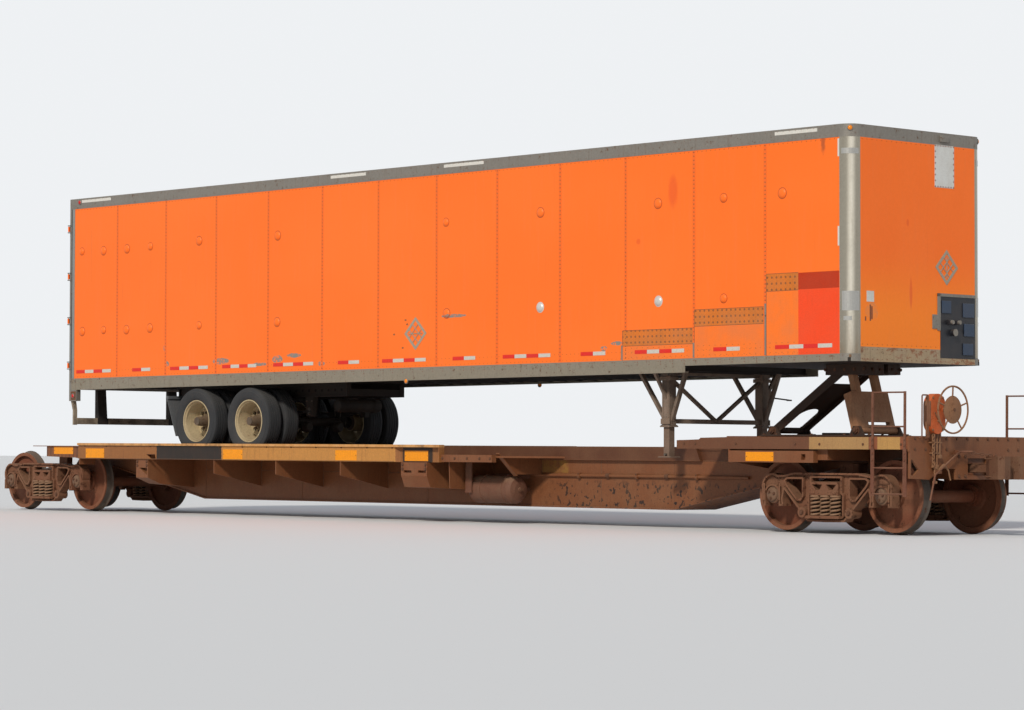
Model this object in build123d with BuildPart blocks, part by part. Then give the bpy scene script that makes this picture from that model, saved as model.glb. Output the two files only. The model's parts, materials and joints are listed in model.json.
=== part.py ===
from build123d import *
import os
from math import cos, radians, sin, tan

# Spine flatcar end unit carrying a van semi-trailer on its hitch and tyre decks.
# Units are millimetres. X runs along the car towards the hand brake end, the
# photographed right side faces -Y, and Z = 0 is where the wheel flanges touch the floor.

# Rail running gear
FLANGE_HEIGHT = 25.4
TREAD_R = 450.0
AXLE_Z = FLANGE_HEIGHT + TREAD_R
WHEELBASE = 1778.0
JOURNAL_Y = 1003.0
AXLE_R = 85.0
BEARING_R = 106.0
RUN_GAP = 5.0
END_TRUCK_X = 7910.0
SHARED_TRUCK_X = -8630.0
COUPLER_Z = 845.0
COUPLER_PIN_X = 9100.0

# Truck castings
FRAME_WEB = 56.0
FRAME_RIM = 24.0
FRAME_WIDTH = 150.0
HOOD_R = 175.0
BOSS_R = 66.0
BOSS_WIDTH = 176.0
COIL_R = 66.0
COIL_PITCH_X = 160.0
COIL_PITCH_Y = 140.0
SPRING_Z0 = 225.0
SPRING_Z1 = 478.0
BOLSTER_HALF = 226.0
BOLSTER_END_Y = 1110.0
BOLSTER_TOP = 727.0
BOWL_TOP = 748.0
SIDE_BEARING_Y = 635.0

# Spine
SPINE_HALF = 390.0
BAND_HALF = 450.0
FLANGE_HALF = 420.0
FLANGE_PLATE = 18.0
SPINE_BOTTOM = 235.0
SPINE_TOP = 1065.0
BAND_BOTTOM = 885.0
BELLY_X0 = -5300.0
BELLY_X1 = 4660.0
SLOPE = 0.2013
STEP_X = 5600.0
END_BOX_X = 7700.0
END_TOP = 1215.0
SPINE_X0 = -8240.0
SPINE_X1 = 9430.0
END_PLATE = 30.0

# Tyre decks, their outer sills and brackets
HALF_WIDTH = 1300.0
DECK_X0 = -7370.0
DECK_X1 = 1070.0
DECK_TOP = 916.0
DECK_PLATE = 10.0
RISER_X = DECK_X0 + 200.0
SILL_TOP = 1079.0
SILL_BOTTOM = 835.0
SILL_PLATE = 10.0
SILL_FLANGE = 36.0
RECESS_X = 180.0
RECESS_DEPTH = 60.0
LIP_X0 = -8600.0
LIP_Z = 1035.0

# Van trailer, in a frame pitched nose-up
TRAILER_LENGTH = 16154.0
TRAILER_WIDTH = 2591.0
HALF_TRAILER = TRAILER_WIDTH / 2
ROOF_Z = 2925.0
PITCH = 0.477
NOSE_X = 8500.0
NOSE_Z = 2132.4
CORNER_R = 182.0
WALL = 40.0
TOP_RAIL_H = 165.0
BOTTOM_RAIL_H = 92.5
FLOOR_Z = 45.0
DOOR_THICK = 38.0
HINGE_Y = 1306.0
HINGE_BACK = 21.0
HINGE_R = 13.0
TYRE_R = 495.0
TYRE_HALF = 137.0
RIM_R = 318.0
TRAILER_AXLE_Z = 1416.4
TRAILER_AXLE_XS = (-3205.0, -4455.0)
TYRE_OUTER_Y = 1290.0
DUAL_SPACING = 330.0
LEG_X = -3456.0
LEG_Y = 900.0

TRAILER = Plane(origin=(NOSE_X, 0, NOSE_Z), x_dir=(cos(radians(PITCH)), 0, sin(radians(PITCH))),
                z_dir=(-sin(radians(PITCH)), 0, cos(radians(PITCH))))
SIDES = (("right", -1), ("left", 1))

os.makedirs("parts", exist_ok=True)


def save(builder, name):
    builder.part.label = name
    export_step(builder.part, f"parts/{name}.step")


def save_solids(builders, name):
    """Save solids that meet without being one piece of metal."""
    joined = Compound([solid for builder in builders for solid in builder.solids()])
    joined.label = name
    export_step(joined, f"parts/{name}.step")


def span(side, low, high):
    """Distances from the centre line as a (low, high) pair on one side of it."""
    return tuple(sorted((side * low, side * high)))


def block(x, y, z, mode=Mode.ADD):
    """Box between two corners, each axis given as (low, high)."""
    with Locations(((x[0] + x[1]) / 2, (y[0] + y[1]) / 2, (z[0] + z[1]) / 2)):
        Box(x[1] - x[0], y[1] - y[0], z[1] - z[0], mode=mode)


def polygon(plane, points, amount, both=False, mode=Mode.ADD):
    """Closed polygon on a plane, extruded."""
    with BuildSketch(plane) as profile:
        with BuildLine():
            Polyline(*points, close=True)
        make_face()
    extrude(profile.sketch, amount=amount, both=both, mode=mode)


def cross_plate(x, side, outline, thickness):
    """Plate across the car from an outline of (distance from the centre line, z)."""
    polygon(Plane.YZ.offset(x - thickness / 2), [(side * y, z) for y, z in outline], thickness)


def cylinder_between(start, end, radius):
    """Round bar from one point to another."""
    direction = Vector(*end) - Vector(*start)
    with BuildSketch(Plane(origin=start, z_dir=direction)) as section:
        Circle(radius)
    extrude(section.sketch, amount=direction.length)


def bent_bar(points, radius, bend):
    """Round bar through points, with rounded bends."""
    with BuildLine() as path:
        FilletPolyline(*points, radius=bend)
    with BuildSketch(Plane(origin=path.line @ 0, z_dir=path.line % 0)) as section:
        Circle(radius)
    sweep(section.sketch, path=path.line)


def brace(start, end, width, depth):
    """Rectangular bar from one point to another, its width along Y or, for a bar across, along X."""
    run = Vector(*end) - Vector(*start)
    flat = (0, 1, 0) if abs(run.Y) < 1 else (1, 0, 0)
    with BuildSketch(Plane(origin=start, x_dir=flat, z_dir=run)) as section:
        Rectangle(width, depth)
    extrude(section.sketch, amount=run.length)


def mirrored(points):
    """Half outline followed by its mirror image across the local Y axis."""
    return points + [(-x, y) for x, y in reversed(points) if x != 0]


# Wheelset: wheels seated against the shoulders of an axle that ends in cartridge bearings
WHEEL_IN_Y = 655.0
WHEEL_OUT_Y = 835.0
WHEEL_PROFILE = [(WHEEL_IN_Y, AXLE_R + 0.5), (WHEEL_IN_Y, 137), (733, 142), (748, 176), (715, 388),
                 (678, 394), (678, 464), (690, 475.4), (705, 458), (716, TREAD_R), (818, 444), (818, 392),
                 (752, 386), (776, 176), (788, 142), (WHEEL_OUT_Y, 137), (WHEEL_OUT_Y, AXLE_R + 0.5)]
AXLE_PROFILE = [(0, 0), (0, 80), (WHEEL_IN_Y - 25, 80), (WHEEL_IN_Y - 25, 98), (WHEEL_IN_Y, 98),
                (WHEEL_IN_Y, AXLE_R), (922, AXLE_R), (922, BEARING_R), (1060, BEARING_R), (1060, 78),
                (1090, 78), (1090, 0)]


def turn_profile(x, side, points):
    """Profile of (distance from the centre line, radius) turned about the axle at x."""
    with BuildSketch(Plane(origin=(x, 0, AXLE_Z), x_dir=(0, side, 0), z_dir=(side, 0, 0))) as section:
        with BuildLine():
            Polyline(*points, close=True)
        make_face()
    revolve(section.sketch, axis=Axis((x, 0, AXLE_Z), (0, 1, 0)))


def build_wheelset(name, x):
    with BuildPart() as axle:
        for side in (-1, 1):
            turn_profile(x, side, AXLE_PROFILE)
    wheels = []
    for side in (-1, 1):
        with BuildPart() as wheel:
            turn_profile(x, side, WHEEL_PROFILE)
        wheels.append(wheel)
    save_solids([axle, *wheels], name)


# Side frame: half outline (x from the truck's centre, z), windows, jaws and spring pocket
PEDESTAL_X = WHEELBASE / 2
SEAT_R = BEARING_R + RUN_GAP
JAW_X = (PEDESTAL_X - SEAT_R, PEDESTAL_X + SEAT_R)
FRAME_HALF = [(0, 755), (520, 755), (700, 724), (PEDESTAL_X, 724), (1060, AXLE_Z), (1060, 336), (1000, 336),
              (700, 336), (716, 430), (690, 545), (372, 222), (300, 150), (0, 145)]
SPRING_WINDOW = [(268, SPRING_Z0), (268, 478), (240, 500), (240, 692)]
SIDE_WINDOW = [(392, 676), (640, 676), (672, 650), (640, 598), (474, 430), (420, 430), (392, 470)]
BOLSTER_POCKET = [(30, 612), (200, 612), (138, 545), (76, 545)]


def build_truck(kind, x):
    with BuildPart() as side_frames:
        for side in (-1, 1):
            plane = Plane(origin=(x, side * JOURNAL_Y, 0), x_dir=(1, 0, 0), z_dir=(0, -1, 0))
            with BuildSketch(plane) as web:
                with BuildLine():
                    Polyline(*mirrored(FRAME_HALF), close=True)
                make_face()
                with Locations((-PEDESTAL_X, 745 - HOOD_R), (PEDESTAL_X, 745 - HOOD_R)):
                    Circle(HOOD_R)
                with BuildLine():
                    Polyline(*mirrored(SPRING_WINDOW), close=True)
                make_face(mode=Mode.SUBTRACT)
                for hand in (-1, 1):
                    with BuildLine():
                        Polyline(*[(hand * px, pz) for px, pz in SIDE_WINDOW], close=True)
                    make_face(mode=Mode.SUBTRACT)
                    with Locations((hand * PEDESTAL_X, AXLE_Z)):
                        Circle(SEAT_R, mode=Mode.SUBTRACT)
                        Rectangle(2 * SEAT_R, 400, align=(Align.CENTER, Align.MAX), mode=Mode.SUBTRACT)
            extrude(web.sketch, amount=FRAME_WEB / 2, both=True)
            with BuildSketch(plane) as rim:
                add(web.sketch.moved(plane.location.inverse()))
                offset(amount=-FRAME_RIM, mode=Mode.SUBTRACT)
            extrude(rim.sketch, amount=FRAME_WIDTH / 2, both=True)
            with BuildSketch(plane) as bosses:
                with Locations((-384, 262), (384, 262)):
                    Circle(BOSS_R)
            extrude(bosses.sketch, amount=BOSS_WIDTH / 2, both=True)
            block((x - 268, x + 268), span(side, JOURNAL_Y - 140, JOURNAL_Y + 140), (190, SPRING_Z0))
    save(side_frames, f"{kind}_truck_side_frames")

    # Bolster: pocketed ends in the side frames' windows, side bearings and the centre bowl
    with BuildPart() as bolster:
        with BuildSketch(Plane.YZ.offset(x)) as profile:
            with BuildLine():
                Polyline(*mirrored([(0, BOLSTER_TOP), (700, BOLSTER_TOP), (860, 668), (BOLSTER_END_Y, 640),
                                    (BOLSTER_END_Y, SPRING_Z1), (860, SPRING_Z1), (500, 400), (0, 400)]),
                         close=True)
            make_face()
        extrude(profile.sketch, amount=BOLSTER_HALF, both=True)
        for side in (-1, 1):
            end_face = Plane(origin=(x, side * BOLSTER_END_Y, 0), x_dir=(1, 0, 0), z_dir=(0, -1, 0))
            for hand in (-1, 1):
                pocket = [(hand * px, pz) for px, pz in BOLSTER_POCKET]
                polygon(end_face, pocket, 90, both=True, mode=Mode.SUBTRACT)
            bearing_y = span(side, SIDE_BEARING_Y - 50, SIDE_BEARING_Y + 50)
            block((x - 110, x + 110), bearing_y, (BOLSTER_TOP, 868))
        with Locations((x, 0, BOLSTER_TOP)):
            Cylinder(200, BOWL_TOP - BOLSTER_TOP, align=(Align.CENTER, Align.CENTER, Align.MIN))
    save(bolster, f"{kind}_truck_bolster")

    # Spring nests: the outer row shows its turns
    turns, wire = 5, 28.0
    lift = (SPRING_Z1 - SPRING_Z0 - wire) / (turns - 1)
    coil = [(0, 0)]
    for turn in range(turns):
        base = turn * lift
        coil += [(COIL_R - wire / 2, base), (COIL_R, base + wire / 2)]
    coil.append((0, SPRING_Z1 - SPRING_Z0))
    with BuildPart() as springs:
        for side in (-1, 1):
            for column in (-1, 0, 1):
                place = (x + column * COIL_PITCH_X, side * (JOURNAL_Y + COIL_PITCH_Y / 2), SPRING_Z0)
                with BuildSketch(Plane(origin=place, x_dir=(1, 0, 0), z_dir=(0, -1, 0))) as section:
                    with BuildLine():
                        Polyline(*coil, close=True)
                    make_face()
                revolve(section.sketch, axis=Axis(place, (0, 0, 1)))
                with Locations((place[0], side * (JOURNAL_Y - COIL_PITCH_Y / 2), SPRING_Z0)):
                    Cylinder(COIL_R, SPRING_Z1 - SPRING_Z0, align=(Align.CENTER, Align.CENTER, Align.MIN))
    save(springs, f"{kind}_truck_springs")

    # Brake beams with shoe heads that follow the inner treads
    with BuildPart() as beams:
        for hand in (-1, 1):
            beam_x = x + hand * 330
            block((beam_x - 35, beam_x + 35), (-860, 860), (400, 450))
            for side in (-1, 1):
                brace((beam_x, side * 700, 425), (beam_x - hand * 60, 0, 425), 60, 40)
            for side in (-1, 1):
                head = [(0, 320), (55, 330), (75, 430), (60, 540), (10, 545), (-30, 430)]
                plane = Plane(origin=(beam_x, side * 764, 0), x_dir=(hand, 0, 0), z_dir=(0, -hand, 0))
                polygon(plane, head, 40, both=True)
    save(beams, f"{kind}_truck_brake_beams")

    for place, offset_x in (("inner", -1 if x > 0 else 1), ("outer", 1 if x > 0 else -1)):
        build_wheelset(f"{kind}_truck_{place}_wheelset", x + offset_x * WHEELBASE / 2)


for truck_kind, truck_x in (("end", END_TRUCK_X), ("shared", SHARED_TRUCK_X)):
    build_truck(truck_kind, truck_x)


# Spine: a fish-belly box girder in three welded lengths, with a bottom flange and side bands
def ramp_z(x):
    """Height of the girder's underside, which rises both ways from the belly."""
    return SPINE_BOTTOM + SLOPE * max(0.0, BELLY_X0 - x, x - BELLY_X1)


LEVEL_X = BELLY_X1 + (BAND_BOTTOM - SPINE_BOTTOM) / SLOPE


def girder(bottom, top_z):
    """Length of box girder over a line of (x, z) points, with its bottom flange."""
    with BuildPart() as length:
        polygon(Plane.XZ, [*bottom, (bottom[-1][0], top_z), (bottom[0][0], top_z)], SPINE_HALF, both=True)
        flange = [*bottom, *[(x, z + FLANGE_PLATE) for x, z in reversed(bottom)]]
        polygon(Plane.XZ, flange, FLANGE_HALF, both=True)
    return length


belly = girder([(SPINE_X0, ramp_z(SPINE_X0)), (BELLY_X0, SPINE_BOTTOM), (BELLY_X1, SPINE_BOTTOM),
                (STEP_X, ramp_z(STEP_X))], SPINE_TOP)
with belly:
    band = [(SPINE_X0, BAND_BOTTOM), (5185, BAND_BOTTOM), (5100, SPINE_TOP), (SPINE_X0, SPINE_TOP)]
    polygon(Plane.XZ, band, BAND_HALF, both=True)
rise = girder([(STEP_X, ramp_z(STEP_X)), (END_BOX_X, ramp_z(END_BOX_X))], END_TOP)
end_box = girder([(END_BOX_X, ramp_z(END_BOX_X)), (LEVEL_X, BAND_BOTTOM),
                  (SPINE_X1 - END_PLATE, BAND_BOTTOM)], END_TOP)
with end_box:
    with Locations((END_TRUCK_X, 0, BOWL_TOP + 1)):
        Cylinder(180, BAND_BOTTOM - BOWL_TOP + 10, align=(Align.CENTER, Align.CENTER, Align.MIN))
save_solids([belly, rise, end_box], "spine")

# Articulated connector: a pin casting over the shared truck's centre
with BuildPart() as connector:
    with Locations((SHARED_TRUCK_X, 0, BOWL_TOP + 1)):
        Cylinder(180, 60, align=(Align.CENTER, Align.CENTER, Align.MIN))
        Cylinder(260, 200, align=(Align.CENTER, Align.CENTER, Align.MIN))
    polygon(Plane.XY.offset(BOWL_TOP + 80),
            [(SPINE_X0, -330), (SPINE_X0, 330), (SHARED_TRUCK_X, 240), (SHARED_TRUCK_X, -240)], 180)
save(connector, "articulated_connector")

# Tyre decks: treadway with its riser, and a thin lip over the shared truck
deck_solids = []
for side in (-1, 1):
    with BuildPart() as deck:
        outline = [(RISER_X, BAND_HALF), (RISER_X, HALF_WIDTH), (RECESS_X - 75, HALF_WIDTH),
                   (RECESS_X - 5, HALF_WIDTH - RECESS_DEPTH), (DECK_X1, HALF_WIDTH - RECESS_DEPTH),
                   (DECK_X1, BAND_HALF)]
        polygon(Plane.XY.offset(DECK_TOP - DECK_PLATE), [(x, side * y) for x, y in outline], DECK_PLATE)
        block((RISER_X, RISER_X + 10), span(side, BAND_HALF, HALF_WIDTH), (DECK_TOP - DECK_PLATE, LIP_Z))
    with BuildPart() as lip:
        block((LIP_X0, RISER_X), span(side, BAND_HALF, HALF_WIDTH), (LIP_Z - 12, LIP_Z))
    with BuildPart() as lip_skirt:
        polygon(Plane.XZ.offset(-side * (HALF_WIDTH - RECESS_DEPTH / 2)),
                [(-8260, LIP_Z - 12), (-8260, 865), (-7500, 850), (-7380, SILL_BOTTOM), (-7380, LIP_Z - 12)],
                5, both=True)
    deck_solids += [deck, lip, lip_skirt]
save_solids(deck_solids, "tyre_decks")

# Outer sills: web, lipped top flange, and a set-back stretch at the end with its closing plate
with BuildPart() as sills:
    for side in (-1, 1):
        outline = [(DECK_X0, 0), (DECK_X0, SILL_PLATE), (RECESS_X - 70, SILL_PLATE),
                   (RECESS_X, SILL_PLATE - RECESS_DEPTH), (DECK_X1, SILL_PLATE - RECESS_DEPTH),
                   (DECK_X1, -RECESS_DEPTH), (RECESS_X - 5, -RECESS_DEPTH), (RECESS_X - 75, 0)]
        polygon(Plane.XY.offset(SILL_BOTTOM), [(x, side * (HALF_WIDTH + y)) for x, y in outline],
                SILL_TOP - SILL_BOTTOM)
        flange_z = (SILL_TOP - 12, SILL_TOP)
        block((DECK_X0, DECK_X1), span(side, HALF_WIDTH, HALF_WIDTH + SILL_FLANGE), flange_z)
        block((RECESS_X, DECK_X1), span(side, HALF_WIDTH - RECESS_DEPTH, HALF_WIDTH), flange_z)
        block((DECK_X0, DECK_X1), span(side, HALF_WIDTH + SILL_FLANGE - 10, HALF_WIDTH + SILL_FLANGE),
              (SILL_TOP - 36, SILL_TOP))
        block((DECK_X1 - 12, DECK_X1), span(side, HALF_WIDTH - RECESS_DEPTH, HALF_WIDTH + SILL_FLANGE),
              (SILL_BOTTOM, SILL_TOP))
        polygon(Plane.XZ.offset(-side * HALF_WIDTH), [(-5625, 915), (-5400, 915), (-5380, 842), (-5490, 842)],
                12, both=True, mode=Mode.SUBTRACT)
save(sills, "deck_sills")

# Cross brackets that carry the decks
UNDER_DECK = DECK_TOP - DECK_PLATE
BRACKET = [(SPINE_HALF, BAND_BOTTOM), (BAND_HALF, BAND_BOTTOM), (BAND_HALF, UNDER_DECK),
           (HALF_WIDTH, UNDER_DECK), (HALF_WIDTH, 635), (SPINE_HALF, 450)]
TAIL_BRACKET_X = -7350
TAIL_BRACKET = [(1000, LIP_Z - 12), (HALF_WIDTH, LIP_Z - 12), (HALF_WIDTH, 745), (1000, 745)]
with BuildPart() as brackets:
    for side in (-1, 1):
        for x in (-3970, -2520, -1070):
            cross_plate(x, side, BRACKET, 16)
        cross_plate(TAIL_BRACKET_X, side, TAIL_BRACKET, 16)
save(brackets, "deck_brackets")

# Container pedestals: boxes under the decks with a cranked, slotted face, and a plainer pair with a notch
PEDESTALS = ((-5895, -5600, [(1290, 555), (1040, 460), (SPINE_HALF, 410)]),
             (230, 770, [(1290, 645), (1222, 485), (SPINE_HALF, 450)]))
with BuildPart() as pedestals:
    for side in (-1, 1):
        for x0, x1, underside in PEDESTALS:
            outline = [(SPINE_HALF, BAND_BOTTOM), (BAND_HALF, BAND_BOTTOM), (BAND_HALF, UNDER_DECK),
                       (1235, UNDER_DECK), (1235, 833), (1290, 833), *underside]
            cross_plate((x0 + x1) / 2, side, outline, x1 - x0)
        for slot_x in (365, 665):
            block((slot_x - 82, slot_x + 82), span(side, 1240, 1300), (688, 720), mode=Mode.SUBTRACT)
        polygon(Plane.XZ.offset(-side * 1290), [(-5815, 705), (-5620, 705), (-5620, 590)], 60, both=True,
                mode=Mode.SUBTRACT)
save(pedestals, "container_pedestals")

# Arms past the decks: plate and edge beam on cross plates, tapering back to the spine
ARM_X1 = 2093
with BuildPart() as arms:
    for side in (-1, 1):
        polygon(Plane.XY.offset(UNDER_DECK - 1), [(DECK_X1, side * 1215), (DECK_X1, side * BAND_HALF),
                                                  (2650, side * BAND_HALF), (2150, side * 1215)], 26)
        block((DECK_X1, ARM_X1), span(side, 1215, HALF_WIDTH), (843, 943))
        root = [(SPINE_HALF, BAND_BOTTOM), (BAND_HALF, BAND_BOTTOM), (BAND_HALF, UNDER_DECK)]
        cross_plate(1146, side, [*root, (1215, UNDER_DECK), (1215, 800), (1200, 478), (SPINE_HALF, 430)], 16)
        cross_plate(2134, side, [*root, (1160, UNDER_DECK), (900, 680), (SPINE_HALF, 680)], 16)
        brace((2134, side * 1225, 966), (2134, side * 885, 662), 70, 14)
save(arms, "deck_arms")

# Brake reservoir on its straps, and the train pipe
TANK_X, TANK_Y, TANK_Z = 1630, -750, 469
TANK_HALF, TANK_R = 451, 190
with BuildPart() as reservoir:
    with BuildSketch(Plane(origin=(TANK_X, TANK_Y, TANK_Z), x_dir=(1, 0, 0), z_dir=(0, -1, 0))):
        with BuildLine():
            Polyline(*mirrored([(0, TANK_R), (TANK_HALF - 85, TANK_R), (TANK_HALF - 30, 158),
                                (TANK_HALF - 6, 92), (TANK_HALF, 0)]), close=True)
        make_face()
    revolve(axis=Axis((TANK_X, TANK_Y, TANK_Z), (1, 0, 0)))
    for strap_x in (TANK_X - 180, TANK_X + 250):
        block((strap_x - 25, strap_x + 25), (TANK_Y + 150, -SPINE_HALF), (445, 495))
        block((strap_x - 25, strap_x + 25), (TANK_Y - 30, -SPINE_HALF), (TANK_Z + 150, TANK_Z + 205))
    block((1210, 1330), (TANK_Y - 215, TANK_Y - 195), (420, UNDER_DECK - 1))
    block((1210, 1330), (TANK_Y - 200, TANK_Y - 120), (445, 495))
save(reservoir, "reservoir")

with BuildPart() as pipe:
    cylinder_between((2600, -SPINE_HALF - 22, 675), (5400, -SPINE_HALF - 22, 675), 22)
    for clamp_x in (2900, 4000, 5100):
        block((clamp_x - 20, clamp_x + 20), (-SPINE_HALF - 50, -SPINE_HALF), (640, 710))
save(pipe, "brake_pipe")

# Raised end: channel side sills to the jacking pads, body bolster and cross plate
SILL_X0, SILL_X1 = 6474, 7900
sill_solids = []
for side in (-1, 1):
    with BuildPart() as channel:
        block((SILL_X0 + 16, SILL_X1), span(side, 1215, HALF_WIDTH), (880, 1026))
        block((SILL_X0 + 16, 7570), span(side, 1200, HALF_WIDTH - 14), (894, 1012), mode=Mode.SUBTRACT)
        block((7700, 7770), span(side, 1240, 1310), (915, 985), mode=Mode.SUBTRACT)
    with BuildPart() as end_plate:
        cross_plate(SILL_X0 + 8, side, [(SPINE_HALF, 1045), (HALF_WIDTH, 1045), (HALF_WIDTH, 880),
                                        (1215, 880), (SPINE_HALF, 780)], 16)
    with BuildPart() as body_bolster:
        cross_plate(END_TRUCK_X, side, [(SPINE_HALF, 1045), (1215, 1045), (1215, 915), (FLANGE_HALF, 905),
                                        (SPINE_HALF, 905)], 300)
    sill_solids += [channel, end_plate, body_bolster]
save_solids(sill_solids, "end_side_sills")

# Walkways: grating plate, edge strip that steps up, and ribs
STRIP = [(5570, 1045), (5570, 1154), (5960, 1165), (5990, 1186), (6480, 1196), (9400, 1199), (9400, 1050),
         (6480, 1045)]
with BuildPart() as walkways:
    for side in (-1, 1):
        block((STEP_X, SPINE_X1 - END_PLATE), span(side, SPINE_HALF, HALF_WIDTH - 14), (1145, 1157))
        polygon(Plane.XZ.offset(-side * (HALF_WIDTH - 7)), STRIP, 7, both=True)
        for rib_x in (5640, 6480, 7200, 8700, 9360):
            block((rib_x - 8, rib_x + 8), span(side, SPINE_HALF, HALF_WIDTH - 14), (1045, 1145))
save(walkways, "walkways")

# End sill: cross plate, centre plate round the coupler, and a notched gusset on each side
GUSSET = [(420, 1025), (1290, 1025), (1290, 700), (920, 688), (800, 758), (680, 758), (680, 820), (420, 820)]
GUSSET_NOTCH = [(1245, 930), (1121, 808), (1206, 740), (1265, 740), (1265, 930)]
with BuildPart() as end_sill:
    block((SPINE_X1 - END_PLATE, SPINE_X1), (-HALF_WIDTH, HALF_WIDTH), (1025, 1215))
    block((SPINE_X1 - END_PLATE, SPINE_X1), (-420, 420), (690, 1025))
    block((SPINE_X1 - 40, SPINE_X1 + 10), (-185, 185), (740, 950), mode=Mode.SUBTRACT)
    for side in (-1, 1):
        cross_plate(SPINE_X1 - END_PLATE / 2, side, GUSSET, END_PLATE)
        polygon(Plane.YZ.offset(SPINE_X1 - END_PLATE), [(side * y, z) for y, z in GUSSET_NOTCH], END_PLATE,
                mode=Mode.SUBTRACT)
save(end_sill, "end_sill")

# Folding hitch: base, two-armed strut, flanged stanchion and head under the trailer's nose
HEAD_THICK = 130.0
PIN_Z = 1290.0
STRUT_FOOT_X = 6340.0
STRUT_ANGLE = 33.6
STRUT_HALF = 280.0
STRUT_ARM = 90.0
STANCHION_X = 7816.0
STANCHION_LEAN = 16.3
STANCHION_HALF = 360.0
KINGPIN_X = -914.0


def trim_under_head():
    """Cut away what reaches above the underside of the hitch head."""
    with BuildSketch(TRAILER.offset(-HEAD_THICK)) as cutter:
        with Locations((KINGPIN_X, 0)):
            Rectangle(1600, 1000)
    extrude(cutter.sketch, amount=600, mode=Mode.SUBTRACT)


with BuildPart() as hitch_base:
    block((6200, 8050), (-400, 400), (END_TOP, END_TOP + 20))
    for x, half in ((STRUT_FOOT_X, STRUT_HALF + 4), (STANCHION_X, STANCHION_HALF + 4)):
        for side in (-1, 1):
            lug = [(x - 120, END_TOP + 20), (x + 120, END_TOP + 20), (x + 55, PIN_Z + 55),
                   (x - 55, PIN_Z + 55)]
            polygon(Plane.XZ.offset(-side * (half + 14)), lug, 14, both=True)
save(hitch_base, "hitch_base")

with BuildPart() as hitch_strut:
    strut_plane = Plane(origin=(STRUT_FOOT_X, 0, PIN_Z),
                        x_dir=(cos(radians(STRUT_ANGLE)), 0, sin(radians(STRUT_ANGLE))),
                        z_dir=(-sin(radians(STRUT_ANGLE)), 0, cos(radians(STRUT_ANGLE))))
    with BuildSketch(strut_plane) as strut_face:
        with Locations((700, 0)):
            Rectangle(1400, 2 * STRUT_HALF)
        with Locations((130, 0)):
            SlotOverall(780, 2 * (STRUT_HALF - STRUT_ARM), mode=Mode.SUBTRACT)
        with Locations((1180, 0)):
            Rectangle(240, 2 * (STRUT_HALF - STRUT_ARM), mode=Mode.SUBTRACT)
    extrude(strut_face.sketch, amount=14, both=True)
    for side in (-1, 1):
        with BuildSketch(strut_plane) as arm_edge:
            with Locations((700, side * (STRUT_HALF - 10))):
                Rectangle(1400, 20)
        extrude(arm_edge.sketch, amount=55, both=True)
    cylinder_between((STRUT_FOOT_X, -STRUT_HALF - 4, PIN_Z), (STRUT_FOOT_X, STRUT_HALF + 4, PIN_Z), 40)
    trim_under_head()
save(hitch_strut, "hitch_strut")

with BuildPart() as hitch_stanchion:
    stanchion_plane = Plane(origin=(STANCHION_X, 0, PIN_Z), x_dir=(0, 1, 0),
                            z_dir=(cos(radians(STANCHION_LEAN)), 0, sin(radians(STANCHION_LEAN))))
    with BuildSketch(stanchion_plane) as stanchion_face:
        with BuildLine():
            Polyline(*mirrored([(0, -20), (STANCHION_HALF, -20), (STANCHION_HALF, 505), (250, 510),
                                (250, 800), (0, 800)]), close=True)
        make_face()
        with Locations((0, 640)):
            Rectangle(300, 260, mode=Mode.SUBTRACT)
        with Locations((60, 90)):
            Rectangle(420, 40, mode=Mode.SUBTRACT)
    extrude(stanchion_face.sketch, amount=20)
    for side in (-1, 1):
        with BuildSketch(stanchion_plane) as edge:
            with Locations((side * (STANCHION_HALF - 10), 242)):
                Rectangle(20, 524)
        extrude(edge.sketch, amount=-105)
        with BuildSketch(stanchion_plane) as leg:
            with Locations((side * 200, 650)):
                Rectangle(100, 300)
        extrude(leg.sketch, amount=-60)
    cylinder_between((STANCHION_X, -STANCHION_HALF - 4, PIN_Z), (STANCHION_X, STANCHION_HALF + 4, PIN_Z), 45)
    trim_under_head()
save(hitch_stanchion, "hitch_stanchion")

# Head: plate with a jaw slot for the kingpin that opens towards the nose
with BuildPart() as hitch_head:
    with BuildSketch(TRAILER.offset(-HEAD_THICK)) as head_face:
        with Locations((KINGPIN_X, 0)):
            RectangleRounded(760, 720, 120)
            Circle(40, mode=Mode.SUBTRACT)
            Rectangle(500, 80, align=(Align.MIN, Align.CENTER), mode=Mode.SUBTRACT)
    extrude(head_face.sketch, amount=HEAD_THICK)
save(hitch_head, "hitch_head")

# Ladders with cranked step irons at the four corners of the raised end
LADDER_XS = (8860, 9365)
LADDER_Y = HALF_WIDTH + 16
with BuildPart() as ladders:
    for side in (-1, 1):
        for x in LADDER_XS:
            block((x - 27, x + 27), span(side, LADDER_Y - 12, LADDER_Y), (480, 1060))
            block((x - 16, x + 16), span(side, LADDER_Y - 16, LADDER_Y), (1060, 1752))
        rung_y = side * (LADDER_Y - 8)
        for z, radius in ((510, 11), (825, 11), (1326, 10), (1740, 10)):
            cylinder_between((LADDER_XS[0], rung_y, z), (LADDER_XS[1], rung_y, z), radius)
save(ladders, "ladders")

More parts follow.
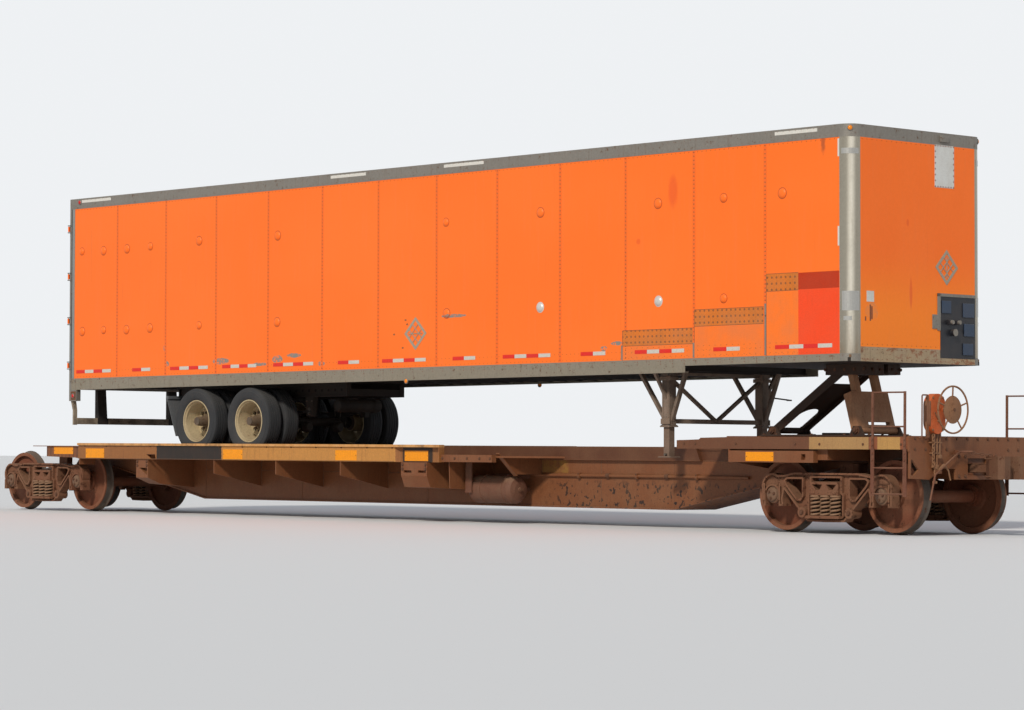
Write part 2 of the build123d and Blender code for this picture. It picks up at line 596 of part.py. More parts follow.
# Hand brake: bracket, rounded gear housing, chain rod, grab iron and uncoupling lever
WHEEL_HUB = (9650, -754, 1535)
with BuildPart() as brake_stand:
    block((SPINE_X1 - END_PLATE, SPINE_X1), (-950, -700), (1215, 1300))
    with BuildSketch(Plane.YZ.offset(SPINE_X1 - 30)) as housing:
        with Locations((-861, 1486)):
            SlotOverall(485, 290, rotation=90)
    extrude(housing.sketch, amount=110)
    cylinder_between((SPINE_X1 + 80, *WHEEL_HUB[1:]), (WHEEL_HUB[0] - 25, *WHEEL_HUB[1:]), 26)
    cylinder_between((SPINE_X1 + 30, -861, 1010), (SPINE_X1 + 30, -861, 1260), 12)
    bent_bar([(SPINE_X1, -1005, 1190), (SPINE_X1 + 45, -1005, 1190), (SPINE_X1 + 45, -1005, 1710),
              (SPINE_X1 + 45, -1120, 1710), (SPINE_X1 + 45, -1120, 1190), (SPINE_X1, -1120, 1190)], 9, 20)
    bent_bar([(SPINE_X1 + 60, -978, 438), (SPINE_X1 + 60, -886, 748), (SPINE_X1 + 60, -420, 1030),
              (SPINE_X1 + 160, -300, 1030)], 12, 30)
    for bracket_y, bracket_z in ((-430, 1025), (-830, 782)):
        block((SPINE_X1, SPINE_X1 + 66), (bracket_y - 20, bracket_y + 20), (bracket_z - 22, bracket_z + 22))
save(brake_stand, "brake_stand")

with BuildPart() as brake_wheel:
    with BuildSketch(Plane(origin=WHEEL_HUB, x_dir=(1, 0, 0), z_dir=(0, -1, 0))) as section:
        with BuildLine():
            Polyline((-25, 0), (-25, 45), (5, 60), (-8, 165), (0, 170), (20, 62), (30, 0), close=True)
        make_face()
        with Locations((5, 284)):
            RegularPolygon(12, 6)
    revolve(section.sketch, axis=Axis(WHEEL_HUB, (1, 0, 0)))
    for turn in range(5):
        angle = radians(72 * turn + 18)
        across, up = cos(angle), sin(angle)
        cylinder_between((WHEEL_HUB[0] - 2, WHEEL_HUB[1] + 160 * across, WHEEL_HUB[2] + 160 * up),
                         (WHEEL_HUB[0] + 4, WHEEL_HUB[1] + 280 * across, WHEEL_HUB[2] + 280 * up), 10)
save(brake_wheel, "brake_wheel")

# Coupler with its pinned shank, and the pocket and carrier that it swings in
with BuildPart() as draft_pocket:
    block((8950, 9400), (-230, 230), (690, 885))
    block((9000, 9400), (-185, 185), (740, 886), mode=Mode.SUBTRACT)
    block((9300, 9400), (-185, 185), (740, 775))
save(draft_pocket, "draft_pocket")

KNUCKLE = [(9640, -95), (9640, 95), (9740, 175), (9930, 215), (9994, 180), (9970, 130), (9880, 118),
           (9858, 40), (9870, -35), (9930, -62), (9994, -70), (9994, -180), (9930, -235), (9760, -190)]
with BuildPart() as coupler:
    block((COUPLER_PIN_X, 9700), (-75, 75), (COUPLER_Z - 65, COUPLER_Z + 30))
    with Locations((COUPLER_PIN_X, 0, COUPLER_Z - 65)):
        Cylinder(75, 95, align=(Align.CENTER, Align.CENTER, Align.MIN))
    polygon(Plane.XY.offset(COUPLER_Z - 150), KNUCKLE, 280)
save(coupler, "coupler")

# Trailer box: walls, corner posts, rails, roof and floor
TAIL_X = -TRAILER_LENGTH
FRAME_X = TAIL_X + 60
WALL_TOP = ROOF_Z - TOP_RAIL_H
INNER_HALF = HALF_TRAILER - 31

with BuildPart(TRAILER) as side_walls:
    for side in (-1, 1):
        block((FRAME_X, -CORNER_R), span(side, HALF_TRAILER - WALL, HALF_TRAILER - 4),
              (BOTTOM_RAIL_H, WALL_TOP))
save(side_walls, "trailer_side_walls")

with BuildPart(TRAILER) as front_wall:
    block((-WALL, 0), (-HALF_TRAILER + CORNER_R, HALF_TRAILER - CORNER_R), (180, WALL_TOP))
save(front_wall, "trailer_front_wall")


def quarter_ring(side, thickness, low, high):
    """Quarter-round length of a front corner of the box, upright between two heights."""
    with BuildSketch(TRAILER.offset(low)) as quarter:
        with Locations((-CORNER_R, side * (HALF_TRAILER - CORNER_R))):
            Circle(CORNER_R)
            Circle(CORNER_R - thickness, mode=Mode.SUBTRACT)
            Rectangle(3 * CORNER_R, 2 * CORNER_R, mode=Mode.SUBTRACT,
                      align=(Align.CENTER, Align.MAX if side > 0 else Align.MIN))
            Rectangle(2 * CORNER_R, 3 * CORNER_R, mode=Mode.SUBTRACT, align=(Align.MAX, Align.CENTER))
    extrude(quarter.sketch, amount=high - low)


with BuildPart() as corner_posts:
    for side in (-1, 1):
        quarter_ring(side, 30, BOTTOM_RAIL_H, WALL_TOP)
save(corner_posts, "trailer_corner_posts")

# Top rails: straight lengths and rounded corners, which stop at the rear posts
RAIL_THICK = 45
RAIL_INNER = HALF_TRAILER - RAIL_THICK
HEADER_X = FRAME_X + 100
RAIL_TOP = ROOF_Z - 6
with BuildPart(TRAILER) as front_rail:
    block((-RAIL_THICK, 0), (-HALF_TRAILER + CORNER_R, HALF_TRAILER - CORNER_R), (WALL_TOP, RAIL_TOP))
rail_solids = [front_rail]
for side in (-1, 1):
    with BuildPart(TRAILER) as straight_rail:
        block((FRAME_X, -CORNER_R), span(side, RAIL_INNER, HALF_TRAILER), (WALL_TOP, RAIL_TOP))
    with BuildPart() as corner_rail:
        quarter_ring(side, RAIL_THICK, WALL_TOP, RAIL_TOP)
    rail_solids += [straight_rail, corner_rail]
save_solids(rail_solids, "trailer_top_rails")

# Roof: a sheet inside the rails, on bows
with BuildPart() as roof:
    with BuildSketch(TRAILER.offset(ROOF_Z - 12)) as sheet:
        with Locations((HEADER_X - 500, 0)):
            RectangleRounded(-HEADER_X + 500 - RAIL_THICK, 2 * RAIL_INNER, CORNER_R - RAIL_THICK,
                             align=(Align.MIN, Align.CENTER))
        with Locations((HEADER_X, 0)):
            Rectangle(800, 2 * TRAILER_WIDTH, align=(Align.MAX, Align.CENTER), mode=Mode.SUBTRACT)
    extrude(sheet.sketch, amount=6)
    with Locations(TRAILER.location):
        for bow in range(25):
            bow_x = -620 - bow * 614
            block((bow_x - 20, bow_x + 20), (-RAIL_INNER, RAIL_INNER), (ROOF_Z - 40, ROOF_Z - 12))
save(roof, "trailer_roof")

with BuildPart(TRAILER) as floor:
    block((FRAME_X, -WALL - 5), (-HALF_TRAILER + WALL + 1, HALF_TRAILER - WALL - 1), (FLOOR_Z, FLOOR_Z + 35))
save(floor, "trailer_floor")

with BuildPart(TRAILER) as bottom_rails:
    for side in (-1, 1):
        block((FRAME_X, -CORNER_R), span(side, INNER_HALF, HALF_TRAILER), (0, BOTTOM_RAIL_H))
        block((FRAME_X, -2800), span(side, HALF_TRAILER - 12, HALF_TRAILER), (-80, 0))
        block((FRAME_X, -2800), span(side, HALF_TRAILER - 60, HALF_TRAILER), (-86, -80))
save(bottom_rails, "trailer_bottom_rails")

with BuildPart(TRAILER) as front_sill:
    block((-45, 0), (-HALF_TRAILER + CORNER_R, HALF_TRAILER - CORNER_R), (0, 180))
save(front_sill, "trailer_front_sill")

# Crossmembers: I beams under the floor
BEAM_FLANGE, BEAM_DEPTH = 28, 104
with BuildPart(TRAILER) as crossmembers:
    for i in range(42):
        x = -3000 - 305 * i
        for low, high in ((FLOOR_Z - 6, FLOOR_Z), (FLOOR_Z - BEAM_DEPTH, FLOOR_Z - BEAM_DEPTH + 6)):
            block((x - BEAM_FLANGE, x + BEAM_FLANGE), (-INNER_HALF, INNER_HALF), (low, high))
        block((x - 3, x + 3), (-INNER_HALF, INNER_HALF), (FLOOR_Z - BEAM_DEPTH + 6, FLOOR_Z - 6))
save(crossmembers, "trailer_crossmembers")

with BuildPart(TRAILER) as upper_coupler:
    block((-2500, -50), (-INNER_HALF, INNER_HALF), (0, FLOOR_Z))
    with Locations((KINGPIN_X, 0, 0)):
        Cylinder(25, 60, align=(Align.CENTER, Align.CENTER, Align.MAX))
        with Locations((0, 0, -60)):
            Cylinder(36, 30, align=(Align.CENTER, Align.CENTER, Align.MAX))
save(upper_coupler, "upper_coupler")

# Rear frame: posts with hinge lugs and feet, sill and header
POST_Y = 1212
POST_BOTTOM = -86
FOOT_BOTTOM = -260
HINGE_ZS = (300, 1000, 1700, 2450)
with BuildPart(TRAILER) as rear_sill:
    block((TAIL_X, FRAME_X), (-POST_Y, POST_Y), (-80, 80))
with BuildPart(TRAILER) as header:
    block((TAIL_X, FRAME_X), (-POST_Y, POST_Y), (ROOF_Z - 120, RAIL_TOP))
    block((FRAME_X, HEADER_X), (-RAIL_INNER, RAIL_INNER), (ROOF_Z - 120, RAIL_TOP))
frame_solids = [rear_sill, header]
for side in (-1, 1):
    with BuildPart(TRAILER) as post:
        block((TAIL_X, FRAME_X), span(side, POST_Y, HALF_TRAILER), (POST_BOTTOM, RAIL_TOP))
        for z in HINGE_ZS:
            for lug in (-62, 50):
                block((TAIL_X - HINGE_BACK - HINGE_R, TAIL_X + 30),
                      span(side, HALF_TRAILER - 30, HINGE_Y + HINGE_R), (z + lug, z + lug + 12))
    with BuildPart(TRAILER) as foot:
        block((TAIL_X, TAIL_X + 190), span(side, POST_Y, HALF_TRAILER), (FOOT_BOTTOM, POST_BOTTOM))
    frame_solids += [post, foot]
save_solids(frame_solids, "trailer_rear_frame")

# Swing doors: panel, hinge straps round their pins, and two lock rods in keepers with handles
for side_name, side in SIDES:
    with BuildPart(TRAILER) as door:
        block((TAIL_X, TAIL_X + DOOR_THICK), span(side, 5, 1205), (87, ROOF_Z - 127))
        for z in HINGE_ZS:
            block((TAIL_X - HINGE_BACK - 5, TAIL_X - HINGE_BACK + 5), span(side, 1130, HINGE_Y),
                  (z - 40, z + 40))
            block((TAIL_X - HINGE_BACK + 5, TAIL_X), span(side, 1130, 1200), (z - 40, z + 40))
            with Locations((TAIL_X - HINGE_BACK, side * HINGE_Y, z)):
                Cylinder(HINGE_R, 80)
        for rod_y in (430, 800):
            with Locations((TAIL_X - 18, side * rod_y, (ROOF_Z - 40) / 2)):
                Cylinder(14, ROOF_Z - 260)
            for z in (160, 900, 1500, 2150, ROOF_Z - 220):
                block((TAIL_X - 34, TAIL_X), span(side, rod_y - 35, rod_y + 35), (z - 25, z + 25))
            block((TAIL_X - 42, TAIL_X - 32), span(side, rod_y - 14, rod_y + 330), (1188, 1212))
            block((TAIL_X - 42, TAIL_X - 18), span(side, rod_y - 14, rod_y + 14), (1180, 1220))
            block((TAIL_X - 32, TAIL_X), span(side, rod_y + 290, rod_y + 320), (1170, 1230))
    save(door, f"trailer_door_{side_name}")


def in_trailer(x, y, z):
    """Point of the trailer's frame in the car's frame."""
    return TRAILER.from_local_coords(Vector(x, y, z))


# Landing gear: outer legs, inner legs with flange collars, feet, tie tube and braces
LEG_FOOT_Z, LEG_SPLIT_Z = -1158, -760
with BuildPart(TRAILER) as landing_gear:
    for side in (-1, 1):
        y = side * LEG_Y
        block((LEG_X - 65, LEG_X + 65), (y - 65, y + 65), (LEG_SPLIT_Z, 0))
        block((LEG_X - 85, LEG_X + 85), (y - 85, y + 85), (LEG_SPLIT_Z - 18, LEG_SPLIT_Z))
        block((LEG_X - 50, LEG_X + 50), (y - 50, y + 50), (LEG_FOOT_Z, LEG_SPLIT_Z - 18))
        block((LEG_X - 110, LEG_X + 110), (y - 90, y + 90), (LEG_FOOT_Z - 16, LEG_FOOT_Z))
        block((LEG_X - 80, LEG_X + 80), (y - 75, y + 75), (-110, -50))
        for reach in (-560, 330):
            leg_side = LEG_X + (50 if reach > 0 else -50)
            brace(in_trailer(LEG_X + reach, y, 0), in_trailer(leg_side, y, LEG_SPLIT_Z + 60), 60, 40)
        brace(in_trailer(LEG_X, y - side * 40, -150), in_trailer(LEG_X, side * 30, LEG_SPLIT_Z + 80), 50, 40)
        brace(in_trailer(LEG_X, side * 1210, 0), in_trailer(LEG_X, y + side * 40, -420), 40, 40)
    block((LEG_X - 30, LEG_X + 30), (-LEG_Y + 65, LEG_Y - 65), (LEG_SPLIT_Z + 30, LEG_SPLIT_Z + 90))
    block((LEG_X - 20, LEG_X + 20), (-LEG_Y + 65, LEG_Y - 65), (-100, -60))
save(landing_gear, "landing_gear")

# Slider: body rails with holes in a row, the sliding subframe and its crossmembers
SLIDER_Y = 520
SLIDER_BOTTOM = 260
with BuildPart(TRAILER) as slider:
    for side in (-1, 1):
        block((-14300, -10300), span(side, SLIDER_Y - 40, SLIDER_Y + 40),
              (-SLIDER_BOTTOM, FLOOR_Z - BEAM_DEPTH))
        block((-14280, -10320), span(side, SLIDER_Y + 6, SLIDER_Y + 60), (-240, -90), mode=Mode.SUBTRACT)
    for x in (-14250, -13400, -12300, -11050, -10350):
        block((x - 40, x + 40), (-SLIDER_Y + 40, SLIDER_Y - 40), (-250, -150))
save(slider, "slider_frame")


def rail_under(x):
    """Height of the slider rails' underside, which follows the trailer's pitch."""
    return NOSE_Z + (x - NOSE_X) * tan(radians(PITCH)) - SLIDER_BOTTOM / cos(radians(PITCH))


# Suspension: axle tubes, three-leaf springs on seats, and tapered hangers
with BuildPart() as suspension:
    for axle_x in TRAILER_AXLE_XS:
        cylinder_between((axle_x, -695, TRAILER_AXLE_Z), (axle_x, 695, TRAILER_AXLE_Z), 63)
        for side in (-1, 1):
            for leaf, half in ((0, 540), (1, 400), (2, 260)):
                camber = 26 * half / 540
                low = 1560 - 20 * leaf
                ends = low + camber
                leaf_shape = [(axle_x - half, ends), (axle_x, low), (axle_x + half, ends),
                              (axle_x + half, ends - 20), (axle_x, low - 20), (axle_x - half, ends - 20)]
                polygon(Plane.XZ.offset(-side * SLIDER_Y), leaf_shape, 38, both=True)
            block((axle_x - 80, axle_x + 80), span(side, SLIDER_Y - 60, SLIDER_Y + 60), (1440, 1500))
            block((axle_x - 80, axle_x + 80), span(side, SLIDER_Y - 55, SLIDER_Y + 55), (1562, 1590))
    for hanger_x in (-5015, -3830, -2645):
        for side in (-1, 1):
            polygon(Plane.XZ.offset(-side * SLIDER_Y),
                    [(hanger_x - 95, rail_under(hanger_x - 95)), (hanger_x + 95, rail_under(hanger_x + 95)),
                     (hanger_x + 55, 1490), (hanger_x - 55, 1490)], 45, both=True)
save(suspension, "trailer_suspension")

# Trailer wheels: dual tyres, disc rims with hand holes, hub and brake drum on each axle end
TYRE_PROFILE = [(-105, RIM_R), (-TYRE_HALF, 400), (-128, 465), (-100, TYRE_R), (100, TYRE_R), (128, 465),
                (TYRE_HALF, 400), (105, RIM_R)]
OUTER_C = TYRE_OUTER_Y - TYRE_HALF
INNER_C = OUTER_C - DUAL_SPACING
DISC_C = (OUTER_C + INNER_C) / 2
RIM_SECTION = [(INNER_C - 105, RIM_R - 1), (INNER_C - 105, 300), (DISC_C - 14, 278), (DISC_C - 14, 130),
               (INNER_C - 118, 130), (INNER_C - 118, 0), (OUTER_C + 100, 0), (OUTER_C + 100, 60),
               (DISC_C + 90, 80), (DISC_C + 24, 140), (DISC_C + 24, 256), (OUTER_C + 60, 284),
               (OUTER_C + 105, 300), (OUTER_C + 105, RIM_R - 1), (OUTER_C - 105, RIM_R - 1), (DISC_C, 292),
               (INNER_C + 105, RIM_R - 1)]
for place, axle_x in zip(("front", "rear"), TRAILER_AXLE_XS):
    axis = Axis((axle_x, 0, TRAILER_AXLE_Z), (0, 1, 0))
    for side_name, side in SIDES:
        with BuildPart() as tyres:
            for centre in (OUTER_C, INNER_C):
                with BuildSketch(Plane(origin=(axle_x, side * centre, TRAILER_AXLE_Z), x_dir=(0, 1, 0),
                                       z_dir=(1, 0, 0))) as ring:
                    with BuildLine():
                        Polyline(*TYRE_PROFILE, close=True)
                    make_face()
                revolve(ring.sketch, axis=axis)
        save(tyres, f"trailer_tyres_{place}_{side_name}")
        with BuildPart() as rims:
            plane = Plane(origin=(axle_x, 0, TRAILER_AXLE_Z), x_dir=(0, side, 0), z_dir=(side, 0, 0))
            with BuildSketch(plane) as section:
                with BuildLine():
                    Polyline(*RIM_SECTION, close=True)
                make_face()
            revolve(section.sketch, axis=axis)
            with BuildSketch(Plane(origin=(axle_x, side * (DISC_C - 20), TRAILER_AXLE_Z), x_dir=(1, 0, 0),
                                   z_dir=(0, side, 0))) as hand_holes:
                with PolarLocations(206, 5):
                    Circle(36)
            extrude(hand_holes.sketch, amount=60, mode=Mode.SUBTRACT)
        save(rims, f"trailer_rims_{place}_{side_name}")

# Rear underride guard
with BuildPart() as rear_guard:
    block((-7650, -7550), (-1200, 1200), (1375, 1475))
    sill_back, sill_front = in_trailer(TAIL_X, 0, -80), in_trailer(FRAME_X, 0, -80)
    foot_back, foot_front = in_trailer(TAIL_X, 0, FOOT_BOTTOM), in_trailer(FRAME_X, 0, FOOT_BOTTOM)
    for side in (-1, 1):
        strut = [(-7650, 1475), (-7550, 1475), (sill_front.X, sill_front.Z), (sill_back.X, sill_back.Z)]
        polygon(Plane.XZ.offset(-side * 705), strut, 85, both=True)
        strap = [(foot_back.X, foot_back.Z), (foot_front.X, foot_front.Z), (-7560, 1595), (-7560, 1365),
                 (-7600, 1365), (-7600, 1595)]
        polygon(Plane.XZ.offset(-side * 1230), strap, 30, both=True)
save(rear_guard, "rear_guard")

# Mud flaps, hanging aslant from their brackets
with BuildPart() as mud_flaps:
    for side in (-1, 1):
        polygon(Plane.XZ.offset(-side * 985), [(-5152, 1755), (-5140, 1755), (-4915, 1190), (-4927, 1190)],
                300, both=True)
        block((-5175, -5115), span(side, 560, 1285), (1755, 1800))
save(mud_flaps, "mud_flaps")
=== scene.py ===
import json
from itertools import product
from math import cos, pi, radians, sin

import bmesh
import bpy
from bpy.props import FloatProperty, FloatVectorProperty, PointerProperty
from bpy.types import Operator, Panel, PropertyGroup
from mathutils import Matrix, Vector


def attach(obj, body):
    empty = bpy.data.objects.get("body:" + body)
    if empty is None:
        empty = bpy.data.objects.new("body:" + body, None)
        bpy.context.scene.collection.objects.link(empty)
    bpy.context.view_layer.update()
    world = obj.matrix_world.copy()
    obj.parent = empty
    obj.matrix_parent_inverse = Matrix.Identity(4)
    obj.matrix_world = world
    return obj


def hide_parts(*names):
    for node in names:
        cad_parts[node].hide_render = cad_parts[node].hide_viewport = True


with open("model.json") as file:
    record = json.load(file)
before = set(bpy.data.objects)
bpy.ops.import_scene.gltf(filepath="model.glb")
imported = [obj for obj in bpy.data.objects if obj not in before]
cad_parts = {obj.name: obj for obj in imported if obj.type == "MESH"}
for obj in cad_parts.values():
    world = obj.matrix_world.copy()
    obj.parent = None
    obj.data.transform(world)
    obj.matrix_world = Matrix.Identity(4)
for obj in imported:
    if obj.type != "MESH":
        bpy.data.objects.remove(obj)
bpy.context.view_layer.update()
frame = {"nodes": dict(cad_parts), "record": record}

bl_info = {
    "name": "Spine flatcar with van trailer",
    "version": (1, 0, 0),
    "blender": (4, 5, 0),
    "location": "View3D > Sidebar > Flatcar",
    "description": "Dresses a spine flatcar end unit and the van semi-trailer on it",
    "category": "Add Mesh",
}

# Places taken from the frame's own layout, in metres
NOSE = Vector((8.5, 0.0, 2.1324))
PITCH = radians(0.477)
TRAILER = Matrix.Translation(NOSE) @ Matrix.Rotation(-PITCH, 4, "Y")
TRAILER_LENGTH = 16.154
TRAILER_HALF = 1.2955
SKIN_Y = 1.2915
WALL_TOP = 2.76
BOTTOM_RAIL = 0.0925
SEAM_FIRST = -1.412
SEAM_PITCH = 1.2276
SEAM_COUNT = 12
CORNER_R = 0.182
AXLE_Z = 0.4754
TRUCKS = {"end": 7.91, "shared": -8.63}
HALF_WHEELBASE = 0.889
JOURNAL_Y = 1.003
TYRE_AXLE_Z = 1.4164
TYRE_AXLES = {"front": -3.205, "rear": -4.455}
RIM_R = 0.318
TYRE_CENTRES = (1.153, 0.823)
SILL_Y = 1.31
SIDES = (("right", -1), ("left", 1))
TAIL = -TRAILER_LENGTH
UP, AHEAD, BACK = (0, 0, 1), (1, 0, 0), (-1, 0, 0)

PHOTO_W, PHOTO_H = 1024, 710
CAMERA_AT = (35.102, -32.235, 0.9674)
CAMERA_YAW = radians(46.52)
CAMERA_PITCH = radians(1.869)
CAMERA_ROLL = radians(0.436)
CAMERA_FOCAL_PX = 3321.8
CAMERA_AXIS_ROW = 345.0
BACKDROP = (0.86, 0.88, 0.90)


# Mesh helpers

def matrix_between(start, end):
    """Frame centred between two points with Z along them."""
    start, end = Vector(start), Vector(end)
    turn = (end - start).to_track_quat("Z", "Y").to_matrix().to_4x4()
    return Matrix.Translation((start + end) / 2) @ turn


def block(bm, low, high, bevel=0.0, segments=1, material=0):
    """Box between two corners, with its edges eased if asked."""
    low, high = Vector(low), Vector(high)
    place = Matrix.Translation((low + high) / 2) @ Matrix.Diagonal((*(high - low), 1.0))
    made = bmesh.ops.create_cube(bm, size=1.0, matrix=place)["verts"]
    faces = {f for v in made for f in v.link_faces}
    for face in faces:
        face.material_index = material
    if bevel:
        edges = list({e for v in made for e in v.link_edges})
        bmesh.ops.bevel(bm, geom=edges, offset=bevel, segments=segments, profile=0.5,
                        affect="EDGES", material=-1)


def rod(bm, start, end, radius, sides=12, tip=None, material=0):
    """Round bar, or a cone if a tip radius is given."""
    length = (Vector(end) - Vector(start)).length
    made = bmesh.ops.create_cone(bm, cap_ends=True, segments=sides, radius1=radius,
                                 radius2=radius if tip is None else tip, depth=length,
                                 matrix=matrix_between(start, end))["verts"]
    for face in {f for v in made for f in v.link_faces}:
        face.material_index = material


def bar(bm, points, radius, sides=8, closed=False, material=0):
    """Bent round bar: a ring at each point, bridged to the next."""
    points = [Vector(p) for p in points]
    rings = []
    count = len(points)
    for i, point in enumerate(points):
        before = points[i - 1] if i or closed else point
        after = points[(i + 1) % count] if i + 1 < count or closed else point
        turn = (after - before).to_track_quat("Z", "Y").to_matrix().to_4x4()
        made = bmesh.ops.create_circle(bm, segments=sides, radius=radius,
                                       matrix=Matrix.Translation(point) @ turn)["verts"]
        rings.append(list({e for v in made for e in v.link_edges}))
    pairs = list(zip(rings, rings[1:])) + ([(rings[-1], rings[0])] if closed else [])
    for first, second in pairs:
        for face in bmesh.ops.bridge_loops(bm, edges=first + second)["faces"]:
            face.material_index = material
    if not closed:
        for ring in (rings[0], rings[-1]):
            for face in bmesh.ops.contextual_create(bm, geom=ring)["faces"]:
                face.material_index = material


def turned(bm, profile, centre, axis="Y", steps=64, closed=True):
    """Body of revolution. profile holds (along the axis, radius) pairs."""
    along = {"X": Vector((1, 0, 0)), "Y": Vector((0, 1, 0)), "Z": Vector((0, 0, 1))}[axis]
    out = Vector((0, 0, 1)) if axis != "Z" else Vector((1, 0, 0))
    centre = Vector(centre)
    before = len(bm.verts)
    verts = [bm.verts.new(centre + along * a + out * r) for a, r in profile]
    ends = list(zip(verts, verts[1:])) + ([(verts[-1], verts[0])] if closed else [])
    edges = [bm.edges.new(pair) for pair in ends]
    bmesh.ops.spin(bm, geom=verts + edges, cent=centre, axis=along, angle=2 * pi, steps=steps,
                   use_merge=True)
    bm.verts.ensure_lookup_table()
    bmesh.ops.remove_doubles(bm, verts=bm.verts[before:], dist=1e-5)


def piece(bm, name, body, materials, place=None, smooth=32.0):
    """Turn a bmesh into an object that rides on a body; materials are made ones or rows of FINISHES."""
    if place is not None:
        bmesh.ops.transform(bm, matrix=place, verts=bm.verts)
    bmesh.ops.recalc_face_normals(bm, faces=bm.faces)
    mesh = bpy.data.meshes.new(name)
    bm.to_mesh(mesh)
    bm.free()
    for material in materials:
        mesh.materials.append(coat(material) if isinstance(material, str) else material)
    mesh.polygons.foreach_set("use_smooth", [True] * len(mesh.polygons))
    mesh.set_sharp_from_angle(angle=radians(smooth))
    made = bpy.data.objects.new(name, mesh)
    bpy.context.scene.collection.objects.link(made)
    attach(made, body)
    return made


def repeat(made, count, step, place=TRAILER):
    """Array modifier with a constant step, given in the trailer's frame unless told."""
    array = made.modifiers.new("repeat", "ARRAY")
    array.use_relative_offset = False
    array.use_constant_offset = True
    array.constant_offset_displace = place.to_3x3() @ Vector(step)
    array.count = count
    return made


# Shader helpers

class Nodes:
    """Short names for the shader nodes that the finishes use."""

    def __init__(self, tree):
        self.tree = tree

    def new(self, kind, **settings):
        node = self.tree.nodes.new(kind)
        for key, value in settings.items():
            setattr(node, key, value)
        return node

    def put(self, socket, value):
        if isinstance(value, bpy.types.NodeSocket):
            self.tree.links.new(value, socket)
        elif value is not None:
            if socket.type == "RGBA" and len(value) == 3:
                value = (*value, 1.0)
            socket.default_value = value

    def place(self):
        return self.new("ShaderNodeTexCoord").outputs["Object"]

    def stretch(self, vector, scale):
        node = self.new("ShaderNodeMapping")
        self.put(node.inputs["Vector"], vector)
        node.inputs["Scale"].default_value = scale
        return node.outputs[0]

    def noise(self, vector, scale, detail=3.0, roughness=0.55):
        node = self.new("ShaderNodeTexNoise")
        self.put(node.inputs["Vector"], vector)
        node.inputs["Scale"].default_value = scale
        node.inputs["Detail"].default_value = detail
        node.inputs["Roughness"].default_value = roughness
        return node.outputs[0]

    def band(self, value, low, high, to_low=0.0, to_high=1.0):
        node = self.new("ShaderNodeMapRange", interpolation_type="SMOOTHSTEP")
        self.put(node.inputs["Value"], value)
        self.put(node.inputs["From Min"], low)
        self.put(node.inputs["From Max"], high)
        self.put(node.inputs["To Min"], to_low)
        self.put(node.inputs["To Max"], to_high)
        return node.outputs[0]

    def math(self, operation, first, second=None):
        node = self.new("ShaderNodeMath", operation=operation)
        self.put(node.inputs[0], first)
        self.put(node.inputs[1], second)
        return node.outputs[0]

    def times(self, first, *others):
        for other in others:
            first = self.math("MULTIPLY", first, other)
        return first

    def mix(self, factor, first, second):
        node = self.new("ShaderNodeMix", data_type="RGBA")
        self.put(node.inputs[0], factor)
        self.put(node.inputs[6], first)
        self.put(node.inputs[7], second)
        return node.outputs[2]

    def split(self, vector):
        node = self.new("ShaderNodeSeparateXYZ")
        self.put(node.inputs[0], vector)
        return node.outputs

    def between(self, value, low, high, edge=0.004):
        """One inside a range of a coordinate, nought outside it."""
        rising = self.band(value, low - edge, low + edge)
        falling = self.band(value, high - edge, high + edge, 1.0, 0.0)
        return self.times(rising, falling)

    def cloudy(self, vector, scale, detail=4.0, roughness=0.55):
        """Soft clouds from nought to one."""
        return self.band(self.noise(vector, scale, detail, roughness), 0.35, 0.65)

    def distance(self, first, second, middle):
        """Distance from a middle in the plane of two coordinates."""
        squares = [self.math("POWER", self.math("SUBTRACT", value, centre), 2.0)
                   for value, centre in zip((first, second), middle)]
        return self.math("SQRT", self.math("ADD", *squares))


def group(name, inputs, outputs):
    """Start a shader group; inputs and outputs are (name, kind, default)."""
    kinds = {"colour": "NodeSocketColor", "value": "NodeSocketFloat", "vector": "NodeSocketVector"}
    tree = bpy.data.node_groups.new(name, "ShaderNodeTree")
    for label, kind, default in inputs:
        made = tree.interface.new_socket(name=label, in_out="INPUT", socket_type=kinds[kind])
        made.default_value = default
    for label, kind in outputs:
        tree.interface.new_socket(name=label, in_out="OUTPUT", socket_type=kinds[kind])
    return tree, Nodes(tree), tree.nodes.new("NodeGroupInput"), tree.nodes.new("NodeGroupOutput")


